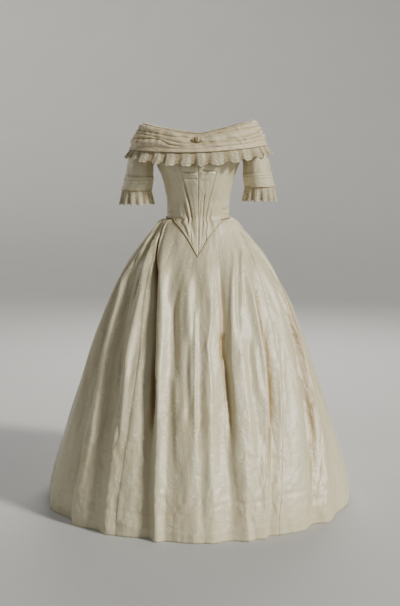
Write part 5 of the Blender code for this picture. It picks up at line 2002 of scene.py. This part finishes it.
        # Painted shade in the crinkles' hollows.
        wall.hollow *= FOLD_SHADE
        hang_cloth(f"cuff_band_{name}", wall, self.lace_thickness, self.damask, Slot.DAMASK,
                   True)
        low = np.full(self.column_count, first)
        outward = normal_at(band, columns[:-1], low, self.normal_step)
        ring = band(columns[:-1], low) + outward * (self.piping_radius + self.seam_gap)
        hang_cord(f"cuff_piping_{name}", ring, self.piping_radius, self.piping, Slot.PIPING)
        columns = np.linspace(0.0, 360.0, 2 * self.column_count + 1)
        rows = np.linspace(0.0, 1.0, self.lace_rows)
        lace = self.on_side(self.right_lace)
        wall = lay_cloth(lace, smooth_relief, columns, rows, self.hollow_depth)
        angle, v = np.meshgrid(columns, rows)
        wall.flat[..., 0] *= self.fullness
        # Painted shade between the cuff lace's flutes.
        wall.hollow = self.edge.hollow(self.lace_turn(turn * angle), v)
        hang_cloth(f"cuff_lace_{name}", wall, self.lace_thickness, self.lace, Slot.LACE,
                   True)


@dataclass
class Pipings:
    """The pipings of the waist, the bertha's edge and the neck."""

    form: DressForm
    bertha: Bertha
    piping: Material
    seam_gap: float = 0.0003
    waist_radius: float = 0.0016
    edge_radius: float = 0.0013
    neck_radius: float = 0.0017
    waist_step: float = 0.006
    waist_power: float = 1.5
    least_lean: float = 0.5
    edge_level: float = 0.03
    neck_level: float = 0.96
    point_count: int = 240

    def waist_ring(self) -> Array:
        """Return the points of the waist piping, on the seam, closest at its front point."""
        share = np.linspace(-1.0, 1.0, self.point_count + 1)[:-1]
        angle = 180.0 * np.sign(share) * np.abs(share) ** self.waist_power
        height = self.form.waist_seam(angle)
        seam = self.form.figure_point(angle, height)
        above = self.form.figure_point(angle, height + self.waist_step) - seam
        below = seam - self.form.figure_point(angle, height - self.waist_step)
        beside = angle + NORMAL_STEP
        side = self.form.figure_point(beside, self.form.waist_seam(beside)) - seam
        upper, lower = unit(np.cross(side, above)), unit(np.cross(side, below))
        outward = unit(upper + lower)
        lean = np.maximum(self.least_lean, np.sum(outward * upper, axis=-1, keepdims=True))
        return seam + outward * (self.waist_radius + 2.0 * self.seam_gap) / lean

    def edge_ring(self) -> Array:
        """Return the points of the piping on the bertha's lower edge."""
        angle = np.linspace(0.0, 360.0, self.point_count + 1)[:-1]
        level = np.full(angle.shape, self.edge_level)
        outward = normal_at(self.bertha.base, angle, level, NORMAL_STEP)
        return self.bertha.base(angle, level) + outward * (self.edge_radius + self.seam_gap)

    def neck_ring(self) -> Array:
        """Return the points of the binding on the neck edge."""
        angle = np.linspace(0.0, 360.0, self.point_count + 1)[:-1]
        one = np.ones(angle.shape)
        top = self.bertha.base(angle, one)
        inward = normal_at(self.bertha.base, angle, one, NORMAL_STEP) * -(self.bertha.silk / 2.0)
        upward = unit(top - self.bertha.base(angle, self.neck_level * one))
        return top + inward + upward * (self.neck_radius + 2.0 * self.seam_gap)

    def build(self) -> None:
        """Put the three pipings on the dress."""
        hang_cord("waist_piping", self.waist_ring(), self.waist_radius, self.piping, Slot.PIPING)
        hang_cord("bertha_piping", self.edge_ring(), self.edge_radius, self.piping, Slot.PIPING)
        hang_cord("neck_binding", self.neck_ring(), self.neck_radius, self.piping, Slot.PIPING)


class Lamp(NamedTuple):
    """A soft studio lamp: its place, its size, its power in watts and its colour."""

    name: str
    x: float
    y: float
    z: float
    size: float
    power: float
    colour: Colour


@dataclass
class Studio:
    """The pale floor, the soft light and the camera."""

    floor_radius: float = 16.0
    cove_radius: float = 7.0
    cove_height: float = 7.2
    floor_gap: float = 0.0006
    cove_turns: tuple[float, ...] = (0.0, 10.0, 20.0, 30.0, 40.0, 50.0, 60.0, 70.0, 80.0, 90.0)
    floor_steps: int = 96
    floor_colour: Colour = (0.50, 0.50, 0.495)
    floor_patches: Grain = Grain(2.0, 2.0)
    floor_shade: float = 0.94
    floor_roughness: float = 0.7
    floor_glow: float = 0.13
    sky_colour: Colour = (0.94, 0.97, 1.0)
    sky_strength: float = 0.05
    sun_from: tuple[float, float, float] = (1.0, -0.66, 0.72)
    sun_angle: float = 10.0
    sun_power: float = 2.75
    sun_colour: Colour = (1.0, 0.975, 0.90)
    camera_place: tuple[float, float, float] = (0.006, -4.0, 0.292)
    camera_pitch: float = 8.35
    lens: float = 70.0
    sensor: float = 36.0
    contrast: str = "AgX - Medium High Contrast"
    lamps: tuple[Lamp, ...] = (
        Lamp("front", 1.4, -3.4, 1.6, 1.6, 9.0, (1.0, 0.97, 0.92)),
        Lamp("back", 0.5, 3.2, 1.8, 2.2, 75.0, (1.0, 0.98, 0.95)),
        Lamp("side", -3.0, 2.2, 1.7, 1.8, 14.0, (1.0, 0.98, 0.95)),
    )

    def build(self, floor_level: float) -> None:
        """Set up the studio.

        Args:
            floor_level: Height of the surface that the hem just clears.
        """
        self.lay_floor(floor_level)
        for lamp in self.lamps:
            self.hang_lamp(lamp)
        data = bpy.data.lights.new("sun", "SUN")
        data.energy = self.sun_power
        data.angle = math.radians(self.sun_angle)
        data.color = self.sun_colour
        sun = bpy.data.objects.new("sun", data)
        sun.rotation_euler = (-Vector(self.sun_from)).to_track_quat("-Z", "Y").to_euler()
        bpy.context.scene.collection.objects.link(sun)
        world = bpy.data.worlds.new("studio")
        world.use_nodes = True
        background = world.node_tree.nodes["Background"]
        background.inputs["Color"].default_value = (*self.sky_colour, 1.0)
        background.inputs["Strength"].default_value = self.sky_strength
        bpy.context.scene.world = world
        camera = bpy.data.objects.new("camera", bpy.data.cameras.new("camera"))
        camera.data.lens = self.lens
        camera.data.sensor_width = self.sensor
        camera.location = self.camera_place
        camera.rotation_euler = (math.radians(90.0 - self.camera_pitch), 0.0, 0.0)
        bpy.context.scene.collection.objects.link(camera)
        bpy.context.scene.camera = camera
        bpy.context.scene.view_settings.look = self.contrast

    def lay_floor(self, level: float) -> None:
        """Lay the plain pale floor, which rises into a low wall far away all round."""
        mesh = bpy.data.meshes.new("floor")
        ground = level - self.floor_gap
        bm = bmesh.new()
        flat = self.floor_radius - self.cove_radius
        outline = [(0.0, 0.0), (0.5 * flat, 0.0)]
        for turn in map(math.radians, self.cove_turns):
            along, up = math.sin(turn), 1.0 - math.cos(turn)
            outline.append((flat + self.cove_radius * along, self.cove_radius * up))
        outline.append((self.floor_radius, self.cove_height))
        verts = [bm.verts.new((x, 0.0, ground + z)) for x, z in outline]
        edges = [bm.edges.new(pair) for pair in zip(verts[:-1], verts[1:])]
        bmesh.ops.spin(bm, geom=verts + edges, cent=(0.0, 0.0, 0.0), axis=(0.0, 0.0, 1.0),
                       angle=2.0 * math.pi, steps=self.floor_steps, use_merge=True)
        bmesh.ops.remove_doubles(bm, verts=bm.verts[:], dist=SEWN)
        bm.normal_update()
        if sum(face.normal.z for face in bm.faces) < 0.0:
            bmesh.ops.reverse_faces(bm, faces=bm.faces[:])
        bm.to_mesh(mesh)
        bm.free()
        mesh.shade_smooth()
        shader = Shader("floor")
        patch = shader.noise(shader.object_place(), self.floor_patches)
        dim = tuple(self.floor_shade * part for part in self.floor_colour)
        shader.finish({
            "Base Color": shader.mix(patch, self.floor_colour, dim),
            "Roughness": self.floor_roughness,
            "Emission Color": (*self.floor_colour, 1.0),
            "Emission Strength": self.floor_glow,
        })
        mesh.materials.append(shader.material)
        floor = bpy.data.objects.new("floor", mesh)
        bpy.context.scene.collection.objects.link(floor)

    def hang_lamp(self, lamp: Lamp) -> None:
        """Hang one lamp, turned to the middle of the dress."""
        data = bpy.data.lights.new(lamp.name, "AREA")
        data.size = lamp.size
        data.energy = lamp.power
        data.color = lamp.colour
        item = bpy.data.objects.new(lamp.name, data)
        item.location = (lamp.x, lamp.y, lamp.z)
        item.rotation_euler = (-item.location).to_track_quat("-Z", "Y").to_euler()
        bpy.context.scene.collection.objects.link(item)


def main() -> None:
    """Dress the whole part and set up the studio."""
    logging.basicConfig(level=logging.INFO, format="%(message)s")
    damask = SilkDamask().material()
    draped = SilkDamask(name="draped_silk", ground=(0.70, 0.62, 0.455), figure_share=0.35, sheen=0.20,
                        ground_roughness=0.50, lustre=0.45).material()
    lace = Lace().material()
    piping = PipingSilk().material()
    form = DressForm()
    Skirt(form, damask).build()
    bodice = Bodice(form, damask)
    bodice.build()
    bertha = Bertha(form, draped)
    bertha.build()
    Knot(bertha, draped).build()
    Ruffle(form, bertha, lace).build()
    for side in Side:
        Sleeve(form, bodice, side, damask, lace, piping).build()
    Pipings(form, bertha, piping).build()
    Studio().build(CAD_BOX[0].z)


if __name__ == "__main__":
    main()
